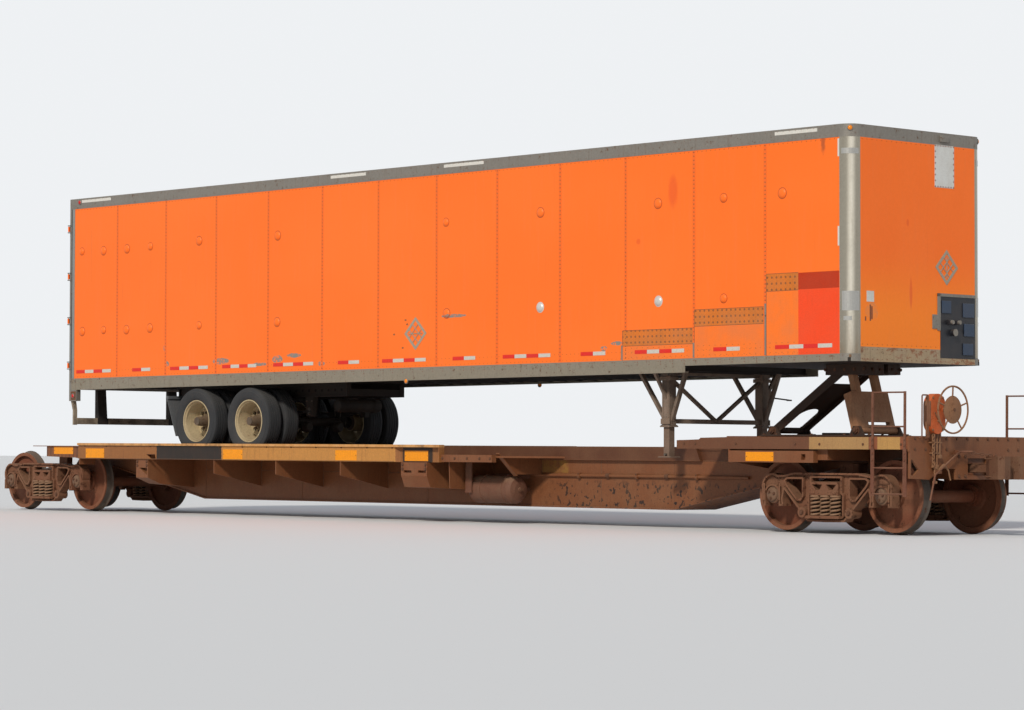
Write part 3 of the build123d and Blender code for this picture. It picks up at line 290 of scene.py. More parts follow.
def grime_group():
    """Weathered paint: rust spots, streaks running down, dust on what faces up."""
    if "grime" in bpy.data.node_groups:
        return bpy.data.node_groups["grime"]
    tree, n, given, result = group(
        "grime",
        [("Paint", "colour", (0.5, 0.5, 0.5, 1)), ("Rust", "colour", (0.10, 0.035, 0.015, 1)),
         ("Dust", "colour", (0.30, 0.24, 0.18, 1)), ("Spots", "value", 0.5), ("Streaks", "value", 0.3),
         ("Dusting", "value", 0.3), ("Fade", "value", 0.2), ("Size", "value", 1.0), ("Grain", "value", 1.0)],
        [("Color", "colour"), ("Wear", "value"), ("Height", "value")])
    at = n.new("ShaderNodeVectorMath", operation="SCALE")
    n.put(at.inputs[0], n.place())
    n.put(at.inputs["Scale"], given.outputs["Size"])
    at = at.outputs[0]
    broad = n.noise(at, 0.9, 4.0, 0.6)
    fine = n.noise(at, 24.0, 5.0, 0.65)
    blotch = n.noise(at, 6.5, 5.0, 0.72)
    faded = n.band(broad, 0.35, 0.7)
    lighter = n.mix(n.times(faded, given.outputs["Fade"]), given.outputs["Paint"], given.outputs["Dust"])
    grain = n.band(fine, 0.35, 0.7, 0.80, 1.08)
    toned = n.new("ShaderNodeMix", data_type="RGBA", blend_type="MULTIPLY")
    n.put(toned.inputs[0], given.outputs["Grain"])
    n.put(toned.inputs[6], lighter)
    n.put(toned.inputs[7], grain)
    edge = n.math("SUBTRACT", 0.70, n.times(given.outputs["Spots"], 0.28))
    mask = n.band(n.math("ADD", n.times(blotch, 0.6), n.times(fine, 0.4)), edge, n.math("ADD", edge, 0.04))
    run = n.noise(n.stretch(at, (7.0, 7.0, 0.45)), 2.6, 4.0, 0.6)
    streak = n.times(n.band(run, 0.52, 0.75), given.outputs["Streaks"])
    rusty = n.mix(mask, toned.outputs[2], given.outputs["Rust"])
    streaked = n.mix(streak, rusty, given.outputs["Rust"])
    up = n.split(n.new("ShaderNodeNewGeometry").outputs["Normal"])[2]
    dusty = n.times(n.band(up, 0.3, 0.95), given.outputs["Dusting"])
    n.put(result.inputs["Color"], n.mix(dusty, streaked, given.outputs["Dust"]))
    n.put(result.inputs["Wear"], n.math("MAXIMUM", mask, n.times(streak, 0.6)))
    n.put(result.inputs["Height"], n.math("ADD", n.times(fine, 0.4), n.times(mask, -0.5)))
    return tree


def finish(name, paint, rust=(0.075, 0.026, 0.011), dust=(0.30, 0.20, 0.12), spots=0.5, streaks=0.3,
           dusting=0.3, fade=0.2, size=1.0, metallic=0.0, rough=0.55, rough_worn=0.85, bump=0.15,
           depth=0.002, grain=0.7, marks=None):
    """Painted or bare metal with the shared grime over it. marks may recolour the paint by place."""
    title = f"{name}_finish"
    if title in bpy.data.materials:
        return bpy.data.materials[title]
    made = bpy.data.materials.new(title)
    made.use_nodes = True
    n = Nodes(made.node_tree)
    shader = made.node_tree.nodes["Principled BSDF"]
    colour = marks(n, paint) if marks else paint
    grime = n.new("ShaderNodeGroup", node_tree=grime_group())
    for label, value in (("Paint", colour), ("Rust", rust), ("Dust", dust), ("Spots", spots),
                         ("Streaks", streaks), ("Dusting", dusting), ("Fade", fade), ("Size", size),
                         ("Grain", grain)):
        n.put(grime.inputs[label], value)
    n.put(shader.inputs["Base Color"], grime.outputs["Color"])
    n.put(shader.inputs["Roughness"], n.band(grime.outputs["Wear"], 0.0, 1.0, rough, rough_worn))
    shader.inputs["Metallic"].default_value = metallic
    shader.inputs["Specular IOR Level"].default_value = 0.3
    relief = n.new("ShaderNodeBump")
    relief.inputs["Strength"].default_value = bump
    relief.inputs["Distance"].default_value = depth
    n.put(relief.inputs["Height"], grime.outputs["Height"])
    n.put(shader.inputs["Normal"], relief.outputs[0])
    return made


# Finishes

ORANGE = (0.96, 0.165, 0.012)
CAR_BROWN = (0.195, 0.068, 0.025)
SILL_TAN = (0.52, 0.235, 0.055)
REFLECTOR = (0.90, 0.31, 0.002)
TAPE_RED = (0.76, 0.020, 0.012)
LIGHT_WEAR = dict(spots=0.2, streaks=0.1, dusting=0.15, fade=0.05, size=4.0, bump=0.1)
PANEL_X = (1.70, 2.66)
DECK_RIDGE = 0.05
POST_MIDDLE = TRAILER_HALF - TRAILER[0][3]

SCUFFS = (((-3.84, -1.3, 2.31), (0.20, 0.4, 0.05)), ((-5.15, -1.3, 2.29), (0.05, 0.4, 0.04)),
          ((-5.21, -1.3, 2.52), (0.03, 0.4, 0.05)), ((-2.52, -1.3, 2.32), (0.12, 0.4, 0.05)),
          ((-2.15, -1.3, 2.37), (0.16, 0.4, 0.035)), ((-1.53, -1.3, 2.24), (0.08, 0.4, 0.04)),
          ((-2.92, -1.3, 2.25), (0.18, 0.4, 0.025)), ((4.23, -1.3, 2.35), (0.07, 0.4, 0.04)),
          ((4.47, -1.3, 2.42), (0.12, 0.4, 0.03)), ((1.28, -1.3, 2.86), (0.26, 0.4, 0.025)),
          ((8.5, 0.9, 2.45), (0.3, 0.25, 0.12)), ((8.5, -0.9, 2.75), (0.3, 0.12, 0.12)))
STAINS = (((5.47, -1.3, 4.36), (0.11, 0.4, 0.27)), ((4.85, -1.3, 3.74), (0.05, 0.4, 0.05)),
          ((8.5, -0.15, 3.0), (0.3, 0.035, 0.24)), ((8.5, -0.21, 3.88), (0.3, 0.03, 0.06)))


def blot(n, at, centre, reach, ragged=0.6, scale=9.0, soft=0.1):
    """Ragged-edged patch around a point, one inside it; soft widens its edge."""
    offset = n.new("ShaderNodeVectorMath", operation="SUBTRACT")
    n.put(offset.inputs[0], at)
    offset.inputs[1].default_value = centre
    scaled = n.stretch(offset.outputs[0], tuple(1.0 / r for r in reach))
    far = n.new("ShaderNodeVectorMath", operation="LENGTH")
    n.put(far.inputs[0], scaled)
    edge = n.math("ADD", far.outputs["Value"], n.times(n.noise(at, scale, 6.0, 0.7), ragged * 2.0))
    return n.band(edge, 1.0 - soft + ragged, 1.0 + ragged, 1.0, 0.0)


def skin_marks(n, paint):
    """Orange sheet: a sun-faded drift, chalky runs and bare grey scuffs low on the side."""
    at = n.place()
    x = n.split(at)[0]
    drift = n.band(n.noise(n.stretch(at, (0.35, 1.0, 0.5)), 1.0, 3.0), 0.35, 0.7)
    colour = n.mix(n.times(drift, 0.35), paint, (1.0, 0.20, 0.025))
    runs = n.band(n.noise(n.stretch(at, (9.0, 9.0, 0.5)), 1.6, 4.0), 0.6, 0.85)
    colour = n.mix(n.times(runs, 0.16), colour, (0.55, 0.08, 0.012))
    broken = n.band(n.noise(at, 22.0, 5.0, 0.75), 0.40, 0.49)
    for centre, reach in SCUFFS:
        scuff = n.times(blot(n, at, centre, reach), broken)
        colour = n.mix(scuff, colour, (0.22, 0.215, 0.185))
    nose = n.band(x, NOSE.x - 0.012, NOSE.x - 0.004)
    colour = n.mix(n.times(nose, 0.85), colour, (1.0, 0.245, 0.014))
    for centre, reach in STAINS:
        stain = blot(n, at, centre, reach, 0.25, 4.0, 0.55)
        colour = n.mix(n.times(stain, 0.6), colour, (0.80, 0.09, 0.012))
    run = blot(n, at, (8.03, -1.3, 4.84), (0.05, 0.4, 0.19), 0.5, 12.0, 0.7)
    return n.mix(n.times(run, 0.7), colour, (0.30, 0.065, 0.022))


def sill_marks(n, paint):
    """Outer sill: black panel and tan stretch on the brown, and a pale painted highlight along the top edge.
    """
    at = n.place()
    x, _, z = n.split(at)
    wobble = n.math("ADD", x, n.times(n.noise(at, 30.0), 0.03))
    colour = n.mix(n.between(wobble, -3.765, 0.135, 0.006), paint, SILL_TAN)
    colour = n.mix(n.between(wobble, -5.345, -3.765, 0.004), colour, (0.020, 0.015, 0.012))
    colour = n.mix(n.between(wobble, 0.235, 0.86, 0.02), colour, (0.030, 0.018, 0.012))
    # Pale painted highlight along the sill's top edge, broken up by noise
    highlight = n.times(n.band(z, 1.040, 1.046), n.band(n.noise(at, 6.0, 5.0), 0.35, 0.6, 0.4, 0.95))
    return n.mix(highlight, colour, (0.66, 0.34, 0.12))


def deck_marks(n, paint):
    """Deck tops: dark stripes across them as painted shade of the grating's ridges, and paler wheel tracks.
    """
    at = n.place()
    x, y, _ = n.split(at)
    out = n.math("ABSOLUTE", y)
    inside = n.band(out, 1.276, 1.284, 1.0, 0.0)
    # Dark stripes across the top: painted shade of the grating's ridges
    ridge_shade = n.band(n.math("PINGPONG", x, DECK_RIDGE), 0.034, 0.042, 0.0, 0.65)
    colour = n.mix(n.times(ridge_shade, inside), paint, (0.060, 0.027, 0.017))
    track = n.times(n.between(out, 0.72, 1.16, 0.06), n.band(n.noise(at, 2.5, 5.0), 0.3, 0.7))
    return n.mix(n.times(track, 0.6), colour, (0.25, 0.155, 0.10))


def strip_marks(n, paint):
    """Walkways: the decks' painted ridge shade on top; on the edge a tan stretch, then red-brown with a tan
    plate at the ladder.
    """
    paint = deck_marks(n, paint)
    x, y, _ = n.split(n.place())
    side = n.band(n.math("ABSOLUTE", y), 1.286, 1.290)
    colour = n.mix(n.times(side, n.between(x, 7.83, 8.79, 0.006)), paint, (0.40, 0.225, 0.085))
    colour = n.mix(n.times(side, n.band(x, 8.795, 8.805)), colour, (0.24, 0.075, 0.032))
    return n.mix(n.times(side, n.between(x, 8.93, 9.285, 0.006)), colour, (0.46, 0.25, 0.075))


def stand_marks(n, paint):
    """Hand brake: the gear housing keeps its orange paint, the rods round it are bare and rusty."""
    x, y, z = n.split(n.place())
    housing = n.times(n.between(y, -0.994, -0.712), n.band(z, 1.236, 1.244), n.between(x, 9.39, 9.516))
    return n.mix(housing, (0.17, 0.062, 0.030), paint)


def stanchion_marks(n, paint):
    """Hitch stanchion in the car's lighter brown."""
    return n.mix(n.cloudy(n.place(), 3.0), (0.37, 0.175, 0.085), (0.44, 0.235, 0.125))


def post_marks(n, paint):
    """Corner post: a painted highlight down its middle, the darker base paint along its edges, and browned
    towards its foot.
    """
    at = n.place()
    x, y, z = n.split(at)
    across = n.math("SUBTRACT", n.math("ADD", x, POST_MIDDLE), n.math("ABSOLUTE", y))
    # Painted highlight down the middle of the post, broken up by noise
    highlight = n.times(n.between(across, -0.045, 0.050, 0.05),
                     n.band(n.noise(at, 3.0, 4.0), 0.2, 0.5, 0.7, 1.0))
    colour = n.mix(highlight, paint, (0.80, 0.73, 0.60))
    ragged = n.math("ADD", z, n.times(n.noise(n.stretch(at, (8.0, 8.0, 1.0)), 3.0, 4.0), 0.9))
    return n.mix(n.band(ragged, 2.5, 3.1, 0.6, 0.0), colour, (0.26, 0.175, 0.105))


def front_sill_marks(n, paint):
    """Front sill: grey-tan with rusty scrapes."""
    at = n.place()
    scrape = n.band(n.noise(n.stretch(at, (1.0, 1.0, 2.2)), 7.0, 5.0, 0.7), 0.50, 0.62)
    return n.mix(scrape, (0.40, 0.295, 0.175), (0.29, 0.120, 0.055))


def guard_marks(n, paint):
    """Rear guard: worn tan on the beam and the outer straps; the struts keep the dark base colour as painted
    shade.
    """
    at = n.place()
    worn = n.mix(n.cloudy(at, 5.0), (0.18, 0.14, 0.10), (0.36, 0.29, 0.21))
    # Struts 0.60 to 0.81 out from the middle keep the dark base colour: painted shade
    return n.mix(n.between(n.math("ABSOLUTE", n.split(at)[1]), 0.60, 0.81), worn, paint)


def leg_marks(n, paint):
    """Landing gear: brown-grey primer, rustier below the collars."""
    at = n.place()
    upper = n.mix(n.cloudy(at, 4.0), (0.165, 0.120, 0.088), (0.24, 0.175, 0.13))
    return n.mix(n.band(n.split(at)[2], 1.30, 1.34, 0.7, 0.0), upper, (0.20, 0.125, 0.085))


def spine_marks(n, paint):
    """Girder: a darker top band as painted shade, one faded yellow panel, and dark peeled spots low on the
    web.
    """
    at = n.place()
    x, _, z = n.split(at)
    faded = n.band(n.noise(at, 7.0, 5.0, 0.7), 0.40, 0.62, 0.25, 1.0)
    panel = n.times(n.between(x, *PANEL_X, 0.03), n.between(z, 0.705, 0.880, 0.02))
    # Darker top band: painted shade
    colour = n.mix(n.times(n.between(z, 0.888, 1.060, 0.01), 0.75), paint, (0.075, 0.027, 0.013))
    colour = n.mix(n.times(panel, faded), colour, (0.27, 0.135, 0.030))
    low = n.times(n.band(z, 0.50, 0.66, 1.0, 0.0), n.band(x, 1.9, 2.8))
    peeled = n.band(n.noise(n.stretch(at, (1.0, 1.0, 0.75)), 17.0, 2.0, 0.5), 0.60, 0.63)
    return n.mix(n.times(low, peeled), colour, (0.022, 0.012, 0.009))


def rim_marks(x_axle):
    """Disc wheel: cream, darker round the hand holes and darkest at the hub."""
    def marks(n, paint):
        at = n.place()
        x, _, z = n.split(at)
        r = n.distance(x, z, (x_axle, TYRE_AXLE_Z))
        ragged = n.math("ADD", r, n.times(n.noise(at, 9.0, 4.0), 0.09))
        colour = n.mix(n.band(ragged, 0.19, 0.30, 0.6, 0.0), paint, (0.19, 0.110, 0.045))
        return n.mix(n.band(r, 0.112, 0.118, 1.0, 0.0), colour, (0.085, 0.060, 0.043))
    return marks


def wheel_marks(x_axle):
    """Rail wheel and axle: rusty faces, a bright rolled tread and flange."""
    def marks(n, paint):
        x, y, z = n.split(n.place())
        r = n.distance(x, z, (x_axle, AXLE_Z))
        rolled = n.times(n.band(r, 0.4435, 0.4455), n.between(n.math("ABSOLUTE", y), 0.684, 0.800))
        colour = n.mix(n.between(r, 0.395, 0.445, 0.006), paint, (0.21, 0.072, 0.034))
        return n.mix(rolled, colour, (0.075, 0.060, 0.050))
    return marks


def dotted_marks(n, paint):
    """Bared band where an old patch came off: ochre with a grid of dark rivet stumps."""
    at = n.place()
    cells = n.new("ShaderNodeVectorMath", operation="FRACTION")
    n.put(cells.inputs[0], n.stretch(at, (13.0, 13.0, 13.0)))
    x, _, z = n.split(cells.outputs[0])
    dots = n.band(n.distance(x, z, (0.5, 0.5)), 0.13, 0.24, 0.75, 0.0)
    ochre = n.mix(n.cloudy(at, 3.0, 5.0, 0.7), paint, (0.60, 0.165, 0.020))
    return n.mix(dots, ochre, (0.11, 0.050, 0.025))


def fitting(paint, rough, **more):
    """Settings of a small fitting: lightly worn unless told otherwise."""
    return {"paint": paint, "rough": rough, **LIGHT_WEAR, **more}


FINISHES = {
    "car_brown": dict(paint=CAR_BROWN, rust=(0.085, 0.032, 0.017), dust=(0.245, 0.125, 0.060), spots=0.34,
                      streaks=0.35, fade=0.25, size=2.4, bump=0.3),
    "truck_cast": dict(paint=(0.185, 0.075, 0.038), dust=(0.22, 0.125, 0.070), spots=0.55, streaks=0.2,
                       dusting=0.5, fade=0.4, size=1.6, rough=0.8, bump=0.5, depth=0.003),
    "wheel_steel": dict(paint=(0.170, 0.050, 0.022), spots=0.45, streaks=0.1, dusting=0.2, size=1.6,
                        rough=0.75),
    "spring_steel": dict(paint=(0.26, 0.140, 0.078), spots=0.40, streaks=0.1, dusting=0.5, size=3.0,
                         rough=0.75),
    "hitch_dark": dict(paint=(0.042, 0.024, 0.016), dust=(0.12, 0.07, 0.045), size=1.5, rough=0.7),
    "ladder_brown": dict(paint=(0.155, 0.056, 0.031), streaks=0.2, dusting=0.2, size=3.0, rough=0.7),
    "reservoir_dark": dict(paint=(0.150, 0.062, 0.036), spots=0.25, streaks=0.4, dusting=0.55, size=3.0,
                           rough=0.7),
    "brake_orange": dict(paint=(0.62, 0.110, 0.020), spots=0.45, dusting=0.2, size=3.0, rough=0.6),
    "brake_wheel": dict(paint=(0.25, 0.115, 0.053), streaks=0.2, dusting=0.2, size=3.0, rough=0.7),
    "coupler_cast": dict(paint=(0.13, 0.055, 0.028), streaks=0.1, dusting=0.4, size=2.0, rough=0.8),
    "trailer_orange": dict(paint=ORANGE, rust=(0.34, 0.30, 0.26), spots=0.02, streaks=0.03, dusting=0.1,
                           grain=0.10, fade=0.0, rough=0.42, rough_worn=0.6, bump=0.04, marks=skin_marks),
    "trailer_grey": dict(paint=(0.225, 0.205, 0.175), rust=(0.14, 0.085, 0.050), dust=(0.30, 0.27, 0.23),
                         spots=0.45, streaks=0.35, metallic=0.25, rough=0.5, size=2.0),
    "trailer_stainless": dict(paint=(0.34, 0.305, 0.24), rust=(0.24, 0.18, 0.125), spots=0.10, streaks=0.25,
                              dusting=0.1, fade=0.0, metallic=0.85, rough=0.25, rough_worn=0.5, bump=0.04,
                              size=1.5, grain=0.3, marks=post_marks),
    "trailer_roof": dict(paint=(0.50, 0.50, 0.49), rust=(0.30, 0.28, 0.26), dust=(0.38, 0.35, 0.31),
                         spots=0.25,
                         streaks=0.05, dusting=0.4, fade=0.1, metallic=0.5, rough=0.45, bump=0.08),
    "trailer_floor": dict(paint=(0.20, 0.11, 0.055), rust=(0.10, 0.06, 0.03), spots=0.3, streaks=0.0,
                          rough=0.6, size=2.0),
    "trailer_under": dict(paint=(0.024, 0.019, 0.016), rust=(0.060, 0.028, 0.016), dust=(0.085, 0.060, 0.042),
                          spots=0.42, streaks=0.15, size=2.0, rough=0.75),
    "trailer_door": dict(paint=ORANGE, rust=(0.25, 0.12, 0.05), grain=0.12, spots=0.12, streaks=0.1,
                         dusting=0.1, fade=0.0, rough=0.42, bump=0.05, size=2.0),
    "tyre": dict(paint=(0.033, 0.034, 0.036), rust=(0.055, 0.048, 0.041), dust=(0.085, 0.078, 0.070),
                 spots=0.35, streaks=0.0, dusting=0.35, fade=0.3, size=3.0, rough=0.85, rough_worn=0.95,
                 bump=0.25),
    "rim_cream": dict(paint=(0.50, 0.40, 0.235), rust=(0.15, 0.075, 0.028), dust=(0.28, 0.20, 0.12),
                      spots=0.40, fade=0.4, size=2.0, rough=0.6),
    "mud_flap": dict(paint=(0.10, 0.105, 0.11), rust=(0.06, 0.05, 0.042), dust=(0.16, 0.14, 0.12), spots=0.3,
                     streaks=0.4, dusting=0.2, size=2.0, rough=0.85),
    "patch_ochre": dict(paint=(0.72, 0.180, 0.018), spots=0.15, streaks=0.1, size=3.0, rough=0.6,
                        marks=dotted_marks),
    "patch_orange": dict(paint=(0.95, 0.185, 0.018), grain=0.25, spots=0.12, streaks=0.05, size=3.0,
                         rough=0.5),
    "plate_white": dict(paint=(0.68, 0.68, 0.64), rust=(0.42, 0.36, 0.27), spots=0.15, streaks=0.15, size=4.0,
                        rough=0.5),
    "bearing_cap": dict(paint=(0.16, 0.085, 0.050), dusting=0.4, size=4.0, rough=0.7, bump=0.3),
    "weld_bead": dict(paint=(0.17, 0.075, 0.038), size=3.0, rough=0.7),
    "reflector_yellow": dict(paint=REFLECTOR, rust=(0.30, 0.12, 0.03), spots=0.18, streaks=0.15, dusting=0.1,
                             fade=0.0, size=3.0, rough=0.3, rough_worn=0.6, bump=0.05),
    "seam_shade": fitting((0.88, 0.145, 0.014), 0.45, grain=0.2),
    "rivet_dark": fitting((0.20, 0.062, 0.028), 0.6),
    "cap_bare": fitting((0.66, 0.64, 0.60), 0.35, metallic=0.3),
    "boss_shade_ring": fitting((0.50, 0.085, 0.018), 0.6),
    "flange_grey": fitting((0.26, 0.27, 0.26), 0.5, metallic=0.2, spots=0.35, streaks=0.4),
    "tape_red": fitting(TAPE_RED, 0.35),
    "tape_white": fitting((0.62, 0.58, 0.50), 0.35),
    "patch_red": fitting((0.93, 0.070, 0.010), 0.42),
    "patch_red_dark": fitting((0.50, 0.034, 0.004), 0.75),
    "patch_edge": fitting((0.20, 0.09, 0.045), 0.7),
    "strip_white": fitting((0.70, 0.67, 0.60), 0.5),
    "lamp_amber": fitting((0.90, 0.26, 0.01), 0.2),
    "lamp_red": fitting((0.55, 0.01, 0.008), 0.2),
    "lamp_plate": fitting((0.14, 0.06, 0.03), 0.7),
    "placard_grey": fitting((0.36, 0.31, 0.235), 0.5, spots=0.35),
    "connector_and_shadow_black": fitting((0.016, 0.018, 0.024), 0.35),
    "sky_reflection_blue": fitting((0.028, 0.048, 0.085), 0.4),
    "post_plate": fitting((0.42, 0.41, 0.38), 0.35, metallic=0.7),
    "post_rivet": fitting((0.30, 0.27, 0.22), 0.45, metallic=0.6),
    "nut_steel": fitting((0.125, 0.085, 0.055), 0.6, spots=0.5),
    "hub_dark": fitting((0.035, 0.024, 0.018), 0.6, spots=0.4),
    "spring_hollow_shade": fitting((0.050, 0.026, 0.016), 0.85),
    "bolt_rust": fitting((0.12, 0.052, 0.028), 0.75, spots=0.5),
    "brake_shoe": fitting((0.075, 0.045, 0.032), 0.85, spots=0.5),
    "seal_black": fitting((0.018, 0.018, 0.019), 0.8),
    "bolt_zinc": fitting((0.30, 0.27, 0.22), 0.45, metallic=0.5),
    "roof_rivet": fitting((0.34, 0.33, 0.31), 0.5, metallic=0.3),
    "under_bare": fitting((0.10, 0.085, 0.07), 0.6, spots=0.5, size=6.0),
    "hole_shade": fitting((0.008, 0.007, 0.007), 0.9),
    "leg_primer": fitting((0.190, 0.135, 0.100), 0.75, spots=0.4, fade=0.3, size=2.0),
    "jaw_worn": fitting((0.16, 0.13, 0.10), 0.4, metallic=0.6),
}

# Marks and settings of single nodes, over those of their slot
NODE_MARKS = {"deck_sills": sill_marks, "walkways": strip_marks, "brake_stand": stand_marks,
              "hitch_stanchion": stanchion_marks, "trailer_front_sill": front_sill_marks,
              "rear_guard": guard_marks, "tyre_decks": deck_marks, "landing_gear": leg_marks,
              "spine": spine_marks}
NODE_WEAR = {"deck_sills": dict(paint=(0.29, 0.115, 0.034), spots=0.18, fade=0.05, dusting=0.15),
             "walkways": dict(paint=(0.135, 0.050, 0.022), spots=0.22, fade=0.15, dusting=0.2),
             "trailer_bottom_rails": dict(paint=(0.265, 0.230, 0.170)), "hitch_stanchion": dict(spots=0.25),
             "trailer_front_wall": dict(rough=0.5)}


def coat(name, **own):
    """Material of a row of the table, made once; own values go over the row's."""
    return finish(name, **{**FINISHES[name], **own})


def truck_axles(x):
    """Name and place of each axle of the truck whose centre is at x; inner is nearer the car's middle."""
    inward = -1 if x > 0 else 1
    return (("inner", x + inward * HALF_WHEELBASE), ("outer", x - inward * HALF_WHEELBASE))


def coat_nodes():
    """Give every CAD node the finish of its slot, and its own marks where it has some."""
    marks = dict(NODE_MARKS)
    for place, x in TYRE_AXLES.items():
        for side, _ in SIDES:
            marks[f"trailer_rims_{place}_{side}"] = rim_marks(x)
    for kind, x in TRUCKS.items():
        for place, axle in truck_axles(x):
            marks[f"{kind}_truck_{place}_wheelset"] = wheel_marks(axle)
    for entry in frame["record"]["subparts"]:
        name, slot = entry["node"], entry["material_slot"]
        own = {"marks": marks[name]} if name in marks else {}
        own.update(NODE_WEAR.get(name, {}))
        material = finish(name, **{**FINISHES[slot], **own}) if own else coat(slot)
        mesh = frame["nodes"][name].data
        if not mesh.materials:
            mesh.materials.append(material)
        for i in range(len(mesh.materials)):
            mesh.materials[i] = material


# Stage

def build_stage(backdrop):
    """Floor, soft lights and the camera at the photograph's viewing angle."""
    bm = bmesh.new()
    bmesh.ops.create_grid(bm, x_segments=1, y_segments=1, size=400.0)
    mesh = bpy.data.meshes.new("stage_floor")
    bm.to_mesh(mesh)
    bm.free()
    floor = bpy.data.objects.new("stage_floor", mesh)
    bpy.context.scene.collection.objects.link(floor)
    ground = bpy.data.materials.new("stage_ground")
    ground.use_nodes = True
    shader = ground.node_tree.nodes["Principled BSDF"]
    shader.inputs["Base Color"].default_value = (0.72, 0.72, 0.71, 1.0)
    shader.inputs["Roughness"].default_value = 0.9
    mesh.materials.append(ground)
    world = bpy.data.worlds.new("stage_sky")
    world.use_nodes = True
    bpy.context.scene.world = world
    n = Nodes(world.node_tree)
    light = world.node_tree.nodes["Background"]
    light.inputs["Color"].default_value = (0.80, 0.87, 1.0, 1.0)
    light.inputs["Strength"].default_value = 0.44
    seen = n.new("ShaderNodeBackground")
    seen.inputs["Color"].default_value = (*backdrop, 1.0)
    seen.inputs["Strength"].default_value = 1.0
    path = n.new("ShaderNodeLightPath")
    shown = n.math("MAXIMUM", path.outputs["Is Camera Ray"],
                   n.math("MAXIMUM", path.outputs["Is Glossy Ray"], path.outputs["Is Transmission Ray"]))
    blend = n.new("ShaderNodeMixShader")
    n.put(blend.inputs[0], shown)
    n.tree.links.new(light.outputs[0], blend.inputs[1])
    n.tree.links.new(seen.outputs[0], blend.inputs[2])
    n.tree.links.new(blend.outputs[0], world.node_tree.nodes["World Output"].inputs["Surface"])
    sun = bpy.data.lights.new("stage_sun", "SUN")
    sun.energy = 2.5
    sun.angle = radians(6.0)
    sun.color = (1.0, 0.955, 0.88)
    lamp = bpy.data.objects.new("stage_sun", sun)
    lamp.matrix_world = Vector((-0.42, 0.80, -0.62)).to_track_quat("-Z", "Y").to_matrix().to_4x4()
    bpy.context.scene.collection.objects.link(lamp)
    lens = bpy.data.cameras.new("stage_camera")
    lens.sensor_width = 36.0
    lens.lens = CAMERA_FOCAL_PX * lens.sensor_width / PHOTO_W
    lens.shift_y = (CAMERA_AXIS_ROW - PHOTO_H / 2) / PHOTO_W
    lens.clip_end = 1000.0
    camera = bpy.data.objects.new("stage_camera", lens)
    forward = Vector((-sin(CAMERA_YAW) * cos(CAMERA_PITCH), cos(CAMERA_YAW) * cos(CAMERA_PITCH),
                      sin(CAMERA_PITCH)))
    level = forward.cross(Vector((0, 0, 1))).normalized()
    upright = level.cross(forward)
    right = level * cos(CAMERA_ROLL) + upright * sin(CAMERA_ROLL)
    up = upright * cos(CAMERA_ROLL) - level * sin(CAMERA_ROLL)
    camera.matrix_world = Matrix.Translation(CAMERA_AT) @ Matrix((right, up, -forward)).transposed().to_4x4()
    bpy.context.scene.collection.objects.link(camera)
    bpy.context.scene.camera = camera
    bpy.context.scene.view_settings.view_transform = "Standard"


# Trailer

BOSSES_HIGH = ((-15.841, 2.085), (-15.277, 2.070), (-14.672, 2.071), (-14.078, 2.080), (-12.873, 2.106),
               (-11.017, 2.090), (-7.358, 2.090), (-5.472, 2.121), (-3.279, 2.116), (-2.121, 2.12),
               (-1.123, 2.12))
BOSSES_LOW = ((-15.822, 0.826), (-15.263, 0.832), (-14.676, 0.821), (-14.082, 0.828), (-12.869, 0.832),
              (-11.023, 0.823), (-7.340, 0.825), (-2.121, 0.84))
BOSS_R = 0.074
BOSS_PROFILE = ((0.0, 1.0), (0.0020, 0.98), (0.0025, 0.86), (0.014, 0.76), (0.022, 0.52), (0.025, 0.22),
                (0.0255, 0.0))
BARE_CAPS = ((-5.477, 0.844), (-3.272, 0.846))
TAPES = ((-15.967, -15.062), (-14.518, -14.059), (-13.567, -12.644), (-12.302, -11.494), (-11.106, -10.193),
         (-9.648, -9.180), (-8.689, -7.765), (-7.213, -6.751), (-6.205, -5.273), (-4.701, -4.236),
         (-3.698, -2.808), (-2.30, -1.84), (-1.245, -0.30))
ROOF_STRIPS = ((-1.245, -0.54), (-7.40, -6.59), (-9.82, -9.05), (-15.85, -15.09))
# Repair patches: both ends, the foot of the bared band and its top
PATCHES = ((-3.92, -2.66, 0.280, 0.480), (-2.63, -1.44, 0.50, 0.71), (-1.39, -0.86, 0.90, 1.115))
PATCH_FOOT = 0.094
# Rivet rows along a side: name, slot, face, first rivets as (x, height, size), count and pitch
RIVET_ROWS = (
    ("skin_rivets", "trailer_orange", SKIN_Y,
     ((-0.26, 0.115, 0.8), (-0.26, 0.20, 0.8), (-0.26, WALL_TOP - 0.02, 1.0)), 205, 0.0772),
    ("rail_rivets", "trailer_grey", TRAILER_HALF,
     ((-0.30, 0.066, 1.3), (-0.30, 0.030, 1.3), (-0.345, 0.066, 1.3)), 76, 0.2092),
    ("top_rail_rivets", "trailer_grey", TRAILER_HALF,
     ((-0.30, WALL_TOP + 0.03, 0.8), (-0.30, WALL_TOP + 0.13, 0.8)), 157, 0.1))


def rivet(bm, at, out, radius, height=0.0025, sides=6, material=0):
    """Low round head standing on a face."""
    at, out = Vector(at), Vector(out)
    rod(bm, at - out * 0.0004, at + out * height, radius, sides, tip=radius * 0.62, material=material)


def skin_plate(bm, s, x0, x1, h0, h1, proud, bevel=0.0, material=0, face=SKIN_Y):
    """Thin plate lying on a side of the trailer."""
    block(bm, (x0, s * face, h0), (x1, s * (face + proud), h1), bevel, material=material)


